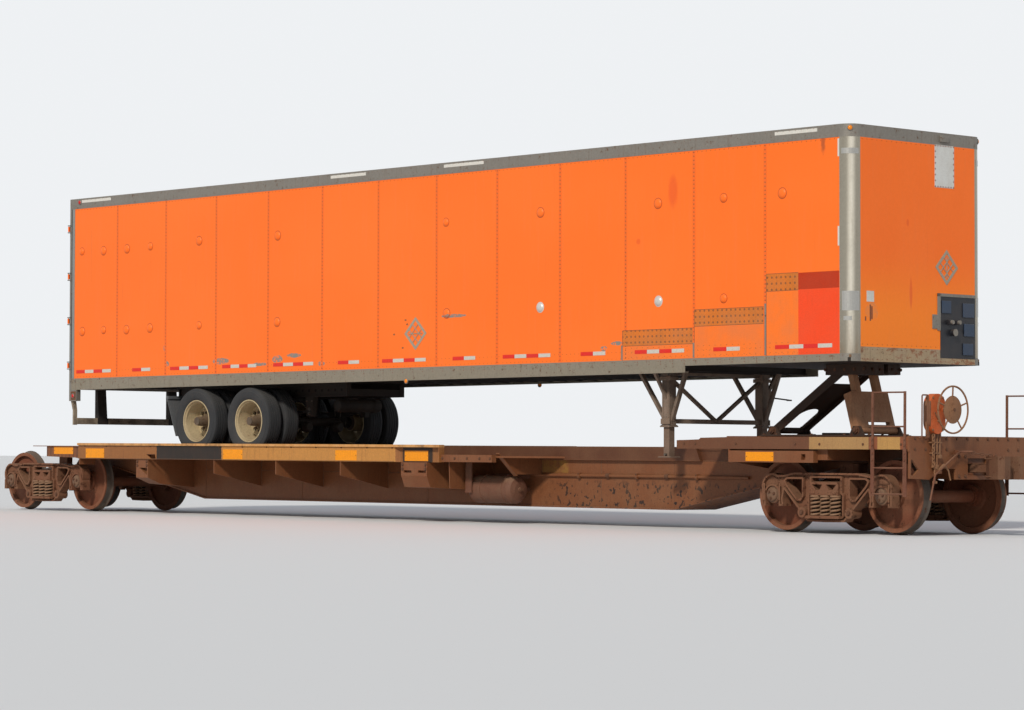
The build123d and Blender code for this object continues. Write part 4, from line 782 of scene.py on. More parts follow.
def build_side_skin(sizes):
    """Riveted panel joints, the rivet rows along the rails, rear flanges, pressed bosses with a painted shade
    ring, and bare caps.
    """
    seam_half, rivets, rivet_step = 0.026, 52, 0.0512
    for side, s in SIDES:
        y, out = s * SKIN_Y, (0, s, 0)
        bm = bmesh.new()
        skin_plate(bm, s, SEAM_FIRST - seam_half, SEAM_FIRST + seam_half, 0.10, WALL_TOP, 0.0012)
        for i in range(rivets):
            rivet(bm, (SEAM_FIRST, y + s * 0.001, 0.125 + rivet_step * i), out, sizes.rivet * 1.5, material=1)
        joints = piece(bm, f"skin_joints_{side}", "car", ["seam_shade", "rivet_dark"],
                       TRAILER)
        repeat(joints, SEAM_COUNT, (-SEAM_PITCH, 0, 0))
        for name, slot, face, first, count, pitch in RIVET_ROWS:
            bm = bmesh.new()
            for x, h, size in first:
                rivet(bm, (x, s * face, h), out, sizes.rivet * size)
            repeat(piece(bm, f"{name}_{side}", "car", ["rivet_dark"], TRAILER), count, (-pitch, 0, 0))
        bm = bmesh.new()
        skin_plate(bm, s, TAIL + 0.045, TAIL + 0.125, BOTTOM_RAIL + 0.002, WALL_TOP - 0.001, 0.004, 0.001)
        piece(bm, f"rear_flange_{side}", "car", ["flange_grey"], TRAILER)
        bm = bmesh.new()
        for bare, places in ((0, BOSSES_HIGH + BOSSES_LOW), (1, BARE_CAPS)):
            for i, (x, h) in enumerate(places):
                radius = BOSS_R * (1.0 if bare or i % 3 else 0.86)
                first = len(bm.faces)
                turned(bm, [(s * a, radius * r) for a, r in BOSS_PROFILE], (x, y, h), steps=24, closed=False)
                bm.faces.ensure_lookup_table()
                for face in bm.faces[first:]:
                    far = (face.calc_center_median() - Vector((x, y, h))).length
                    # Outer ring of each pressed boss takes a darker finish: painted shade round its rim
                    face.material_index = 1 if bare else 2 if far > radius * 0.84 else 0
        piece(bm, f"skin_bosses_{side}", "car", ["trailer_orange", "cap_bare", "boss_shade_ring"],
              TRAILER, 50.0)


def tape(bm, s, x0, x1):
    """Red and white tape in blocks along the foot of the skin."""
    count = 2 if x1 - x0 < 0.6 else 4
    for i in range(count):
        low, high = (x0 + (x1 - x0) * k / count for k in (i, i + 1))
        skin_plate(bm, s, low, high - 0.003, 0.172, 0.222, 0.0008, material=i % 2, face=SKIN_Y + 0.003)


def build_side_dressing(sizes):
    """Tapes, repair patches, placard holders, roof-rail strips and marker lamps on both sides."""
    red = coat("tape_red", paint=sizes.tape_red)
    for side, s in SIDES:
        y, out = s * SKIN_Y, (0, s, 0)
        bm = bmesh.new()
        for x0, x1 in TAPES:
            tape(bm, s, x0, x1)
        piece(bm, f"side_tapes_{side}", "car", [red, "tape_white"], TRAILER)
        bm = bmesh.new()
        for x0, x1 in ROOF_STRIPS:
            skin_plate(bm, s, x0, x1, 2.850, 2.893, 0.0012, face=TRAILER_HALF)
        for low, high in ((2.52, 2.74), (1.42, 1.66)):
            skin_plate(bm, s, -0.212, -0.185, low, high, 0.0018)
        piece(bm, f"pale_strips_{side}", "car", ["strip_white"], TRAILER)
        # Patches step up towards the nose, each with a bared band along its top
        for i, (x0, x1, band, top) in enumerate(PATCHES):
            bm = bmesh.new()
            for left, right, low, high, proud, material in (
                    (x0, x1, PATCH_FOOT, band, 0.0014, 0), (x0, x1, band, top, 0.0018, 1),
                    (x0 - 0.006, x0, PATCH_FOOT, top, 0.003, 2), (x0, x1, top, top + 0.005, 0.003, 2),
                    (x0, x1, band - 0.003, band + 0.002, 0.003, 2)):
                skin_plate(bm, s, left, right, low, high, proud, material=material)
            for row, col in product(range(3), range(int((x1 - x0) / 0.1))):
                rivet(bm, (x0 + 0.06 + 0.1 * col, y + s * 0.0014, 0.13 + row * 0.06), out, 0.006, material=2)
            piece(bm, f"side_patch_{i}_{side}", "car",
                  ["patch_orange", "patch_ochre", "patch_edge"], TRAILER)
        bm = bmesh.new()
        skin_plate(bm, s, -0.857, -0.190, PATCH_FOOT, 1.112, 0.0016)
        skin_plate(bm, s, -0.857, -0.190, 0.905, 1.112, 0.0012, material=1, face=SKIN_Y + 0.0010)
        piece(bm, f"side_patch_red_{side}", "car", ["patch_red", "patch_red_dark"], TRAILER)
        bm = bmesh.new()
        for x, top in ((-2.645, 0.29), (-3.935, 0.29), (-1.41, 0.75)):
            skin_plate(bm, s, x - 0.014, x + 0.014, 0.10, top, 0.004, 0.001)
        piece(bm, f"patch_joints_{side}", "car", ["trailer_grey"], TRAILER)
        placard(f"placard_holder_{side}", Matrix.Translation((-7.985, y, 0.566))
                @ Matrix.Rotation(-s * pi / 2, 4, "X") @ Matrix.Rotation(radians(45), 4, "Z"), 0.165)
        bm = bmesh.new()
        for x, h in ((-8.194, 0.760), (-8.436, 0.565), (-8.252, 0.372), (-8.16, 0.70)):
            skin_plate(bm, s, x - 0.016, x + 0.016, h - 0.010, h + 0.010, 0.003, 0.002)
        piece(bm, f"old_holder_studs_{side}", "car", ["patch_edge"], TRAILER)
        for i, (x, h, glass) in enumerate(((-8.17, -0.095, "lamp_amber"), (-15.9, 2.86, "lamp_red"))):
            lamp(f"marker_{i}_{side}", (x, s * TRAILER_HALF, h), out, glass)
        diagonal = CORNER_R * sin(pi / 4)
        lamp(f"corner_lamp_{side}", (diagonal - CORNER_R, s * (TRAILER_HALF - CORNER_R + diagonal), 2.868),
             (1, s, 0), "lamp_amber", 0.030)


def placard(name, place, half):
    """Diamond placard holder: an open frame with two pairs of rails and a diagonal across it."""
    bm = bmesh.new()
    thick, inset = 0.004, half - 0.040
    for low, high in (((-half, -half), (half, -inset)), ((-half, inset), (half, half)),
                      ((-half, -inset), (-inset, inset)), ((inset, -inset), (half, inset))):
        block(bm, (*low, 0.0), (*high, thick), 0.001)
    for t in (-0.05, 0.05):
        for a, b in (((t, -inset), (t, inset)), ((-inset, t), (inset, t))):
            rod(bm, (*a, thick), (*b, thick), 0.006, 6)
    rod(bm, (-half * 0.6, half * 0.6, 0.005), (half * 0.6, -half * 0.6, 0.005), 0.006, 6)
    stud = half - 0.015
    for x, y in product((-stud, stud), repeat=2):
        rivet(bm, (x, y, thick), UP, 0.007)
    return piece(bm, name, "car", ["placard_grey"], TRAILER @ place)


def lamp(name, at, out, glass, radius=0.032):
    """Round marker lamp on the trailer: a bezel with a domed lens."""
    bm = bmesh.new()
    bezel = [(0.0, radius * 1.25), (0.010, radius * 1.2), (0.012, radius), (0.008, radius * 0.96)]
    lens = [(0.008, radius * 0.96), (0.017, radius * 0.72), (0.021, radius * 0.36), (0.022, 0.0)]
    turned(bm, bezel, (0, 0, 0), axis="Z", steps=20, closed=False)
    count = len(bm.faces)
    turned(bm, lens, (0, 0, 0), axis="Z", steps=20, closed=False)
    bm.faces.ensure_lookup_table()
    for face in bm.faces[count:]:
        face.material_index = 1
    turn = Matrix.Translation(at) @ Vector(out).normalized().to_track_quat("Z", "Y").to_matrix().to_4x4()
    return piece(bm, name, "car", ["trailer_grey", glass], TRAILER @ turn, 40.0)


def build_front():
    """Nose: riveted repair plate, holders, hose connector panel with a painted shadow and a painted sky
    reflection, scrapes, rivets and post trims.
    """
    bm = bmesh.new()
    low, high, inset = (0.0, 0.318, 2.225), (0.003, 0.703, 2.765), 0.012
    block(bm, low, high, 0.001)
    for i in range(8):
        y, h = low[1] + inset + i * 0.0516, low[2] + inset + i * 0.0737
        for spot in ((y, low[2] + inset), (y, high[2] - inset), (low[1] + inset, h), (high[1] - inset, h)):
            rivet(bm, (high[0], *spot), AHEAD, 0.012, 0.003, material=1)
    piece(bm, "nose_repair_plate", "car", ["plate_white", "rivet_dark"], TRAILER)
    placard("placard_holder_nose", Matrix.Translation((0.0, 0.55, 1.22)) @ Matrix.Rotation(pi / 2, 4, "Y")
            @ Matrix.Rotation(radians(45), 4, "Z"), 0.160)
    bm = bmesh.new()
    block(bm, (0.0, 0.41, 2.80), (0.030, 0.58, 2.885), 0.006, 2)
    piece(bm, "nose_lamp_box", "car", ["trailer_grey"], TRAILER)
    bm = bmesh.new()
    block(bm, (0.0, -1.0, 0.735), (0.002, -0.86, 0.87), 0.0008)
    piece(bm, "nose_label_holder", "car", ["plate_white"], TRAILER)
    bm = bmesh.new()
    for y, h0, h1 in ((-1.02, 0.50, 0.55), (-0.93, 0.50, 0.70), (-0.90, 0.52, 0.68)):
        block(bm, (0.0, y - 0.012, h0), (0.0012, y + 0.012, h1))
    piece(bm, "nose_scrapes", "car", ["rivet_dark"], TRAILER)
    # Connector panel on the far half of the nose: a black back sheet as a painted cast shadow, grey frame,
    # boxes in a painted blue sky reflection, sockets and coupling
    bm = bmesh.new()
    # Black back sheet: painted cast shadow
    block(bm, (0.0, 0.42, 0.075), (0.004, 1.115, 0.86), 0.001)
    for y0, y1, h0, h1, proud in ((0.36, 1.115, 0.85, 0.89, 0.012), (0.36, 0.42, 0.42, 0.89, 0.012),
                                  (0.26, 0.42, 0.44, 0.62, 0.010)):
        block(bm, (0.0, y0, h0), (proud, y1, h1), 0.003, material=1)
    # Blue boxes: painted sky reflection within the shadow
    for y0, y1, h0, h1 in ((0.86, 1.08, 0.60, 0.78), (0.88, 1.08, 0.36, 0.52), (0.44, 0.62, 0.64, 0.80),
                           (0.86, 1.06, 0.12, 0.27)):
        block(bm, (0.004, y0, h0), (0.020, y1, h1), 0.004, material=2)
    for y in (0.58, 0.72):
        block(bm, (0.004, y - 0.035, 0.50), (0.055, y + 0.035, 0.56), 0.006, 2)
        rod(bm, (0.055, y, 0.53), (0.085, y, 0.53), 0.026, 16, material=1)
    rod(bm, (0.004, 0.65, 0.40), (0.060, 0.65, 0.40), 0.042, 20)
    rod(bm, (0.060, 0.65, 0.40), (0.066, 0.65, 0.40), 0.046, 20, material=1)
    piece(bm, "nose_connector_panel", "car",
          ["connector_and_shadow_black", "trailer_grey", "sky_reflection_blue"], TRAILER)
    bm = bmesh.new()
    for count, heights, radius in ((24, (0.03, 0.15), 0.008), (22, (0.21, 2.74), 0.006)):
        for i, h in product(range(count), heights):
            rivet(bm, (0.0, -1.08 + i * 0.094, h), AHEAD, radius)
    piece(bm, "nose_rivets", "car", ["rivet_dark"], TRAILER)
    # Small plates round each quarter-round post, the shoe at its foot and the rivets beside it
    for side, s in SIDES:
        pivot = Vector((-CORNER_R, s * (TRAILER_HALF - CORNER_R), 0.0))
        bm = bmesh.new()
        for h0, h1, a0, a1 in ((0.62, 0.86, 8, 78), (0.50, 0.55, 40, 72), (2.55, 2.62, 10, 80)):
            half = CORNER_R * radians(a1 - a0) / 14 + 0.001
            for step in range(7):
                angle = radians(a0 + (a1 - a0) * (step + 0.5) / 7)
                spot = pivot + Vector((cos(angle), s * sin(angle), 0.0)) * (CORNER_R + 0.001)
                spot.z = (h0 + h1) / 2
                place = Matrix.Translation(spot) @ Matrix.Rotation(s * angle, 4, "Z")
                bmesh.ops.create_cube(bm, size=2.0,
                                      matrix=place @ Matrix.Diagonal((0.0012, half, (h1 - h0) / 2, 1.0)))
        piece(bm, f"post_plates_{side}", "car", ["post_plate"], TRAILER)
        bm = bmesh.new()
        section = ((CORNER_R - 0.03, 0.0), (CORNER_R, 0.0), (CORNER_R, BOTTOM_RAIL),
                   (CORNER_R - 0.03, BOTTOM_RAIL))
        face = bm.faces.new([bm.verts.new(pivot + Vector((0, s * r, h))) for r, h in section])
        bmesh.ops.spin(bm, geom=[face], cent=pivot, axis=UP, angle=-s * pi / 2, steps=14)
        piece(bm, f"corner_shoe_{side}", "car", ["trailer_grey"], TRAILER)
        bm = bmesh.new()
        for i in range(26):
            rivet(bm, (-CORNER_R + 0.012, s * TRAILER_HALF, 0.14 + 0.1 * i), (0, s, 0), 0.006, 0.0015)
            rivet(bm, (0.0, s * (TRAILER_HALF - CORNER_R + 0.012), 0.22 + 0.1 * i), AHEAD, 0.006, 0.0015)
        piece(bm, f"post_rivets_{side}", "car", ["post_rivet"], TRAILER)


# Road wheels

def tyre_profile():
    """Section of a tyre: bead, sidewall and shoulder, with four grooves across the tread."""
    shoulder = [(-0.105, RIM_R), (-0.120, 0.332), (-0.131, 0.358), (-0.137, 0.400), (-0.1355, 0.432),
                (-0.1365, 0.440), (-0.130, 0.446), (-0.127, 0.468), (-0.116, 0.486), (-0.100, 0.4925)]
    tread, groove = 0.495, 0.010
    grooves = [(x + dx, tread - depth) for x in (-0.066, -0.022, 0.022, 0.066)
               for dx, depth in ((-0.006, 0.0), (-0.004, groove), (0.004, groove), (0.006, 0.0))]
    return shoulder + grooves + [(-a, r) for a, r in reversed(shoulder)]


def build_road_wheels():
    """Grooved dual tyres, wheel nuts, hub caps, rim rings and valve stems on the trailer's axle ends."""
    profile = tyre_profile()
    face, stud_r = 1.012, 0.143
    hub = ((0.0, 0.106), (0.02, 0.104), (0.075, 0.080), (0.13, 0.074), (0.20, 0.070), (0.235, 0.058),
           (0.241, 0.0))
    for (place, x), (side, s) in product(TYRE_AXLES.items(), SIDES):
        body = f"trailer_wheels_{place}_{side}"
        axle = Vector((x, 0, TYRE_AXLE_Z))

        def turns(count, offset=0.0):
            """Even turns about the axle."""
            return [Matrix.Translation(axle) @ Matrix.Rotation(2 * pi * step / count + offset, 4, "Y")
                    for step in range(count)]

        bm = bmesh.new()
        for centre in TYRE_CENTRES:
            turned(bm, profile, (x, s * centre, TYRE_AXLE_Z), steps=72)
        # Small lugs on both shoulders of each tyre
        for centre, turn, edge in product(TYRE_CENTRES, turns(60), (-1, 1)):
            lug = Matrix.Translation((0, s * centre + edge * 0.1155, 0.4795))
            lug @= Matrix.Rotation(-edge * radians(38), 4, "X") @ Matrix.Diagonal((0.014, 0.012, 0.006, 1.0))
            bmesh.ops.create_cube(bm, size=1.0, matrix=turn @ lug)
        tyres = piece(bm, f"tyre_treads_{place}_{side}", body, ["tyre"], smooth=28.0)
        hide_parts(f"trailer_tyres_{place}_{side}")
        bm = bmesh.new()
        for turn in turns(10, 0.2):
            foot, nut, tip = (turn @ Vector((0, s * (face + out), stud_r)) for out in (0.0, 0.030, 0.045))
            rod(bm, foot, nut, 0.021, 6)
            rod(bm, nut, tip, 0.011, 8)
        turned(bm, [(s * (face + a), r) for a, r in hub], axle, steps=32, closed=False)
        for turn in turns(6):
            rod(bm, turn @ Vector((0, s * 1.245, 0.055)), turn @ Vector((0, s * 1.251, 0.055)), 0.008, 6)
        piece(bm, f"wheel_nuts_{place}_{side}", body, ["nut_steel"], smooth=40.0)
        bm = bmesh.new()
        # Round bead rings on both dished rims, and the lock ring inside the outer one
        for a in (1.258, 0.718):
            ring = [(s * (a + 0.010 * cos(2 * pi * k / 10)), RIM_R - 0.010 + 0.010 * sin(2 * pi * k / 10))
                    for k in range(10)]
            turned(bm, ring, axle, steps=64)
        turned(bm, [(s * a, r) for a, r in ((1.225, 0.284), (1.232, 0.292), (1.240, 0.284), (1.232, 0.278))],
               axle, steps=48)
        piece(bm, f"rim_rings_{place}_{side}", body, ["rim_cream"], smooth=60.0)
        bm = bmesh.new()
        rod(bm, (x + 0.20, s * 1.02, TYRE_AXLE_Z + 0.02), (x + 0.225, s * 1.16, TYRE_AXLE_Z + 0.03), 0.006, 8)
        piece(bm, f"valve_stem_{place}_{side}", body, ["hub_dark"])


# Trucks

def coil(bm, base, radius, wire, height, turns):
    """Coil spring with closed, flat-seated ends."""
    base = Vector(base)
    steps = int(turns * 14)
    points = []
    for k in range(steps + 1):
        t = k / steps
        lift = min(max((t * turns - 0.75) / (turns - 1.5), 0.0), 1.0)
        angle = 2 * pi * turns * t
        points.append(base + Vector((radius * cos(angle), radius * sin(angle),
                                     wire + (height - 2 * wire) * lift)))
    bar(bm, points, wire)


def hex_head(bm, at, out, radius, height=0.014, material=0):
    """Hexagon bolt head on a washer."""
    at, out = Vector(at), Vector(out)
    rod(bm, at, at + out * 0.003, radius * 1.35, 12, material=material)
    rod(bm, at + out * 0.003, at + out * height, radius, 6, material=material)


def side_block(bm, s, low, high, bevel=0.0, segments=1, material=0):
    """Box with its corners given for the left side, put on either side."""
    block(bm, (low[0], s * low[1], low[2]), (high[0], s * high[1], high[2]), bevel, segments, material)


def build_trucks():
    """Spring coils round dark cores that are painted shade in their hollows, bearing caps with bolts, brake
    shoes and casting details of both trucks.
    """
    spring_z, spring_height, frame_face = 0.225, 0.253, 1.078
    cap = ((1.058, 0.104), (1.064, 0.100), (1.066, 0.086), (1.090, 0.080), (1.096, 0.072), (1.096, 0.0))
    for kind, x in TRUCKS.items():
        truck = f"{kind}_truck"
        bm = bmesh.new()
        for s, col, row in product((-1, 1), (-1, 0, 1), (-1, 1)):
            at = Vector((x + col * 0.160, s * (JOURNAL_Y + row * 0.070), spring_z))
            coil(bm, at, 0.060, 0.0135, spring_height, 6.2)
            # Near-black rod in each coil's hollow: painted shade inside the spring
            rod(bm, at, at + Vector((0, 0, spring_height)), 0.032, 12, material=1)
        coils = piece(bm, f"{kind}_spring_coils", truck, ["spring_steel", "spring_hollow_shade"],
                      smooth=60.0)
        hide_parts(f"{kind}_truck_springs")
        bm = bmesh.new()
        for s in (-1, 1):
            out = Vector((0, s, 0))
            for hand in (-1, 1):
                # Spring seat bolt, wedge rivets and the rivets along the arm
                hex_head(bm, (x + hand * 0.384, s * 1.091, 0.262), out, 0.026, 0.018, material=1)
                for dz in (0.545, 0.585, 0.625):
                    rivet(bm, (x + hand * 0.255, s * frame_face, dz), out, 0.011, 0.006, 8, 1)
                for dx, dz in ((0.55, 0.713), (0.64, 0.698), (0.78, 0.688), (1.0, 0.688)):
                    rivet(bm, (x + hand * dx, s * frame_face, dz), out, 0.009, 0.005, 8, 1)
                # Adapter block above each bearing, with a rib down each side of the jaw
                axle = x + hand * HALF_WHEELBASE
                side_block(bm, s, (axle - 0.075, 0.935, 0.5835), (axle + 0.075, 1.070, 0.600), 0.004)
                for rib in (axle - 0.128, axle + 0.128):
                    side_block(bm, s, (rib - 0.012, frame_face, 0.40), (rib + 0.012, 1.088, 0.62), 0.003)
                # Column guide plate beside the bolster
                guide = x + hand * 0.234
                side_block(bm, s, (guide - 0.005, 0.95, 0.50), (guide + 0.005, 1.075, 0.69), 0.002)
            # Bolster end lugs and the plate under the springs
            for lug in (x - 0.18, x + 0.18):
                side_block(bm, s, (lug - 0.03, 1.105, 0.495), (lug + 0.03, 1.118, 0.535), 0.003)
            side_block(bm, s, (x - 0.255, 0.90, 0.212), (x + 0.255, 1.13, 0.226), 0.004)
        piece(bm, f"{kind}_casting_details", truck, ["truck_cast", "bolt_rust"])
        bm = bmesh.new()
        for hand, s in product((-1, 1), (-1, 1)):
            centre = Vector((x + hand * 0.330, s * 0.764, 0.43))
            block(bm, centre + Vector((0.052 * hand, -0.038, -0.085)),
                  centre + Vector((0.078 * hand, 0.038, 0.095)), 0.006, 2)
        piece(bm, f"{kind}_brake_shoes", truck, ["brake_shoe"])
        for place, axle in truck_axles(x):
            bm = bmesh.new()
            for s in (-1, 1):
                turned(bm, [(s * a, r) for a, r in cap], (axle, 0, AXLE_Z), steps=32, closed=False)
                for k in range(3):
                    angle = 2 * pi * k / 3 + 0.3
                    at = (axle + 0.048 * cos(angle), s * 1.096, AXLE_Z + 0.048 * sin(angle))
                    hex_head(bm, at, (0, s, 0), 0.016, 0.016, material=1)
                # Bearing cup rings
                for a in (0.925, 0.985, 1.045):
                    ring = ((a, 0.1055), (a + 0.003, 0.1085), (a + 0.009, 0.1085), (a + 0.012, 0.1055))
                    turned(bm, [(s * b, r) for b, r in ring], (axle, 0, AXLE_Z), steps=32)
            piece(bm, f"{kind}_{place}_bearing_caps", f"{truck}_{place}_wheelset",
                  ["bearing_cap", "bolt_rust"], smooth=40.0)


# Rear end

HINGES = (0.300, 1.000, 1.700, 2.450)
KEEPERS = (0.160, 0.900, 1.500, 2.150, 2.705)
LOCK_RODS = (0.430, 0.800)


def build_doors(sizes):
    """Seals, panel rivets, hinge and keeper bolts, cams, catches and tapes on both rear doors."""
    red = coat("tape_red", paint=sizes.tape_red)
    low, high, inner, outer, handle = 0.087, 2.798, 0.005, 1.205, 1.200
    for side, s in SIDES:
        body = f"trailer_door_{side}"
        bm = bmesh.new()
        for y0, y1, h0, h1 in ((inner, outer, low, low + 0.018), (inner, outer, high - 0.018, high),
                               (inner, inner + 0.016, low, high), (outer - 0.016, outer, low, high)):
            side_block(bm, s, (TAIL - 0.004, y0, h0), (TAIL, y1, h1), 0.0015)
        piece(bm, f"door_seals_{side}", body, ["seal_black"], TRAILER)
        bm = bmesh.new()
        for i, y in product(range(27), (0.045, 0.615, 1.100)):
            rivet(bm, (TAIL, s * y, 0.13 + 0.1 * i), BACK, sizes.rivet)
        for i, h in product(range(10), (0.125, 2.76)):
            rivet(bm, (TAIL, s * (0.10 + 0.1 * i), h), BACK, sizes.rivet)
        piece(bm, f"door_rivets_{side}", body, ["rivet_dark"], TRAILER)
        bm = bmesh.new()
        for h in HINGES:
            for y, dh in product((1.145, 1.185), (-0.022, 0.022)):
                hex_head(bm, (TAIL - 0.026, s * y, h + dh), BACK, sizes.bolt, 0.010)
            rod(bm, (TAIL - 0.021, s * 1.306, h - 0.064), (TAIL - 0.021, s * 1.306, h + 0.064), 0.006, 8)
        for y in LOCK_RODS:
            for h, dy in product(KEEPERS, (-0.024, 0.024)):
                hex_head(bm, (TAIL - 0.034, s * (y + dy), h), BACK, sizes.bolt * 0.8, 0.007)
            # Cams on the rod's ends, handle pivot and its catch
            for h in (0.118, 2.768):
                side_block(bm, s, (TAIL - 0.036, y - 0.034, h - 0.016),
                           (TAIL - 0.006, y + 0.022, h + 0.016), 0.004)
            hex_head(bm, (TAIL - 0.042, s * y, handle), BACK, sizes.bolt, 0.004)
            catch = y + 0.305
            side_block(bm, s, (TAIL - 0.046, catch - 0.017, handle - 0.022),
                       (TAIL - 0.042, catch + 0.017, handle + 0.022), 0.0015)
            rod(bm, (TAIL - 0.044, s * catch, 1.170), (TAIL - 0.044, s * catch, 1.150), 0.005, 8)
            # Grip of the handle
            rod(bm, (TAIL - 0.037, s * (y + 0.19), handle), (TAIL - 0.037, s * (y + 0.28), handle),
                0.0135, 10)
        piece(bm, f"door_hardware_{side}", body, ["bolt_zinc"], TRAILER)
        bm = bmesh.new()
        for y0, y1 in ((0.06, 0.38), (0.48, 0.75), (0.85, 1.10)):
            half = (y0 + y1) / 2
            side_block(bm, s, (TAIL - 0.0012, y0, 0.20), (TAIL, half, 0.25))
            side_block(bm, s, (TAIL - 0.0012, half, 0.20), (TAIL, y1, 0.25), material=1)
        piece(bm, f"door_tapes_{side}", body, [red, "tape_white"], TRAILER)


def build_rear_frame(sizes):
    """Lamps, cam keepers, corner tapes and the guard's striping at the trailer's tail."""
    for i, y in enumerate((-0.16, 0.0, 0.16, -1.13, 1.13)):
        lamp(f"header_lamp_{i}", (TAIL, y, 2.862), BACK, "lamp_red", sizes.lamp * 0.8)
    for i, y in enumerate((-1.10, -0.97, 0.97, 1.10)):
        lamp(f"tail_lamp_{i}", (TAIL, y, 0.0), BACK, "lamp_red", sizes.lamp * 1.5)
    bm = bmesh.new()
    for s in (-1, 1):
        for y in LOCK_RODS:
            for h0, h1 in ((0.030, 0.078), (2.808, 2.856)):
                side_block(bm, s, (TAIL - 0.006, y - 0.05, h0), (TAIL, y + 0.05, h1), 0.002)
                for jaw in (y - 0.045, y + 0.03):
                    side_block(bm, s, (TAIL - 0.030, jaw, h0 + 0.006),
                               (TAIL - 0.006, jaw + 0.015, h1 - 0.006), 0.003)
            for dy in (-0.06, 0.06):
                hex_head(bm, (TAIL, s * (y + dy), 0.055), BACK, sizes.bolt * 0.8, 0.007)
        for h in (-0.05, 0.05, 0.6, 1.3, 2.0, 2.6):
            hex_head(bm, (TAIL, s * 1.24, h), BACK, sizes.bolt * 0.9, 0.008)
    piece(bm, "rear_frame_hardware", "car", ["bolt_zinc"], TRAILER)
    bm = bmesh.new()
    for s in (-1, 1):
        side_block(bm, s, (TAIL - 0.0012, 0.75, 2.884), (TAIL, 1.05, 2.914))
        side_block(bm, s, (TAIL - 0.0012, 1.223, 2.45), (TAIL, 1.253, 2.75))
    piece(bm, "rear_corner_tapes", "car", ["tape_white"], TRAILER)
    bm = bmesh.new()
    for i in range(12):
        y = -1.14 + 0.19 * i
        block(bm, (-7.6512, y, 1.400), (-7.650, y + 0.187, 1.450), material=i % 2)
    piece(bm, "guard_tapes", "car", [coat("tape_red", paint=sizes.tape_red), "tape_white"])
    for side, s in SIDES:
        bm = bmesh.new()
        skin_plate(bm, s, TAIL + 0.045, TAIL + 0.175, -0.245, -0.11, 0.003, 0.001, face=TRAILER_HALF)
        piece(bm, f"foot_lamp_plate_{side}", "car", ["lamp_plate"], TRAILER)
        lamp(f"foot_lamp_{side}", (TAIL + 0.11, s * (TRAILER_HALF + 0.003), -0.18), (0, s, 0), "lamp_red",
             sizes.lamp)
        bm = bmesh.new()
        for x in (TAIL + 0.03, TAIL + 0.155):
            hex_head(bm, (x, s * TRAILER_HALF, 0.05), (0, s, 0), sizes.bolt, 0.008)
        piece(bm, f"rear_corner_bolts_{side}", "car", ["trailer_grey"], TRAILER)


def build_roof(sizes):
    """Lapped roof joints with their rivets, and rivets along both roof rails."""
    top, edge = 2.919, 1.2505
    bm = bmesh.new()
    block(bm, (-1.46, -edge, top - 0.001), (-1.40, edge, top + 0.0015))
    for i, x in product(range(25), (-1.448, -1.412)):
        rivet(bm, (x, -1.2 + 0.1 * i, top + 0.001), UP, sizes.rivet, 0.002, material=1)
    joints = piece(bm, "roof_joints", "car", ["trailer_roof", "roof_rivet"], TRAILER)
    repeat(joints, SEAM_COUNT, (-SEAM_PITCH, 0, 0))
    bm = bmesh.new()
    for s in (-1, 1):
        rivet(bm, (-0.6, s * 1.272, top - 0.0005), UP, sizes.rivet, 0.0018)
    repeat(piece(bm, "roof_rail_rivets", "car", ["roof_rivet"], TRAILER), 152, (-0.1, 0, 0))


# Under the trailer

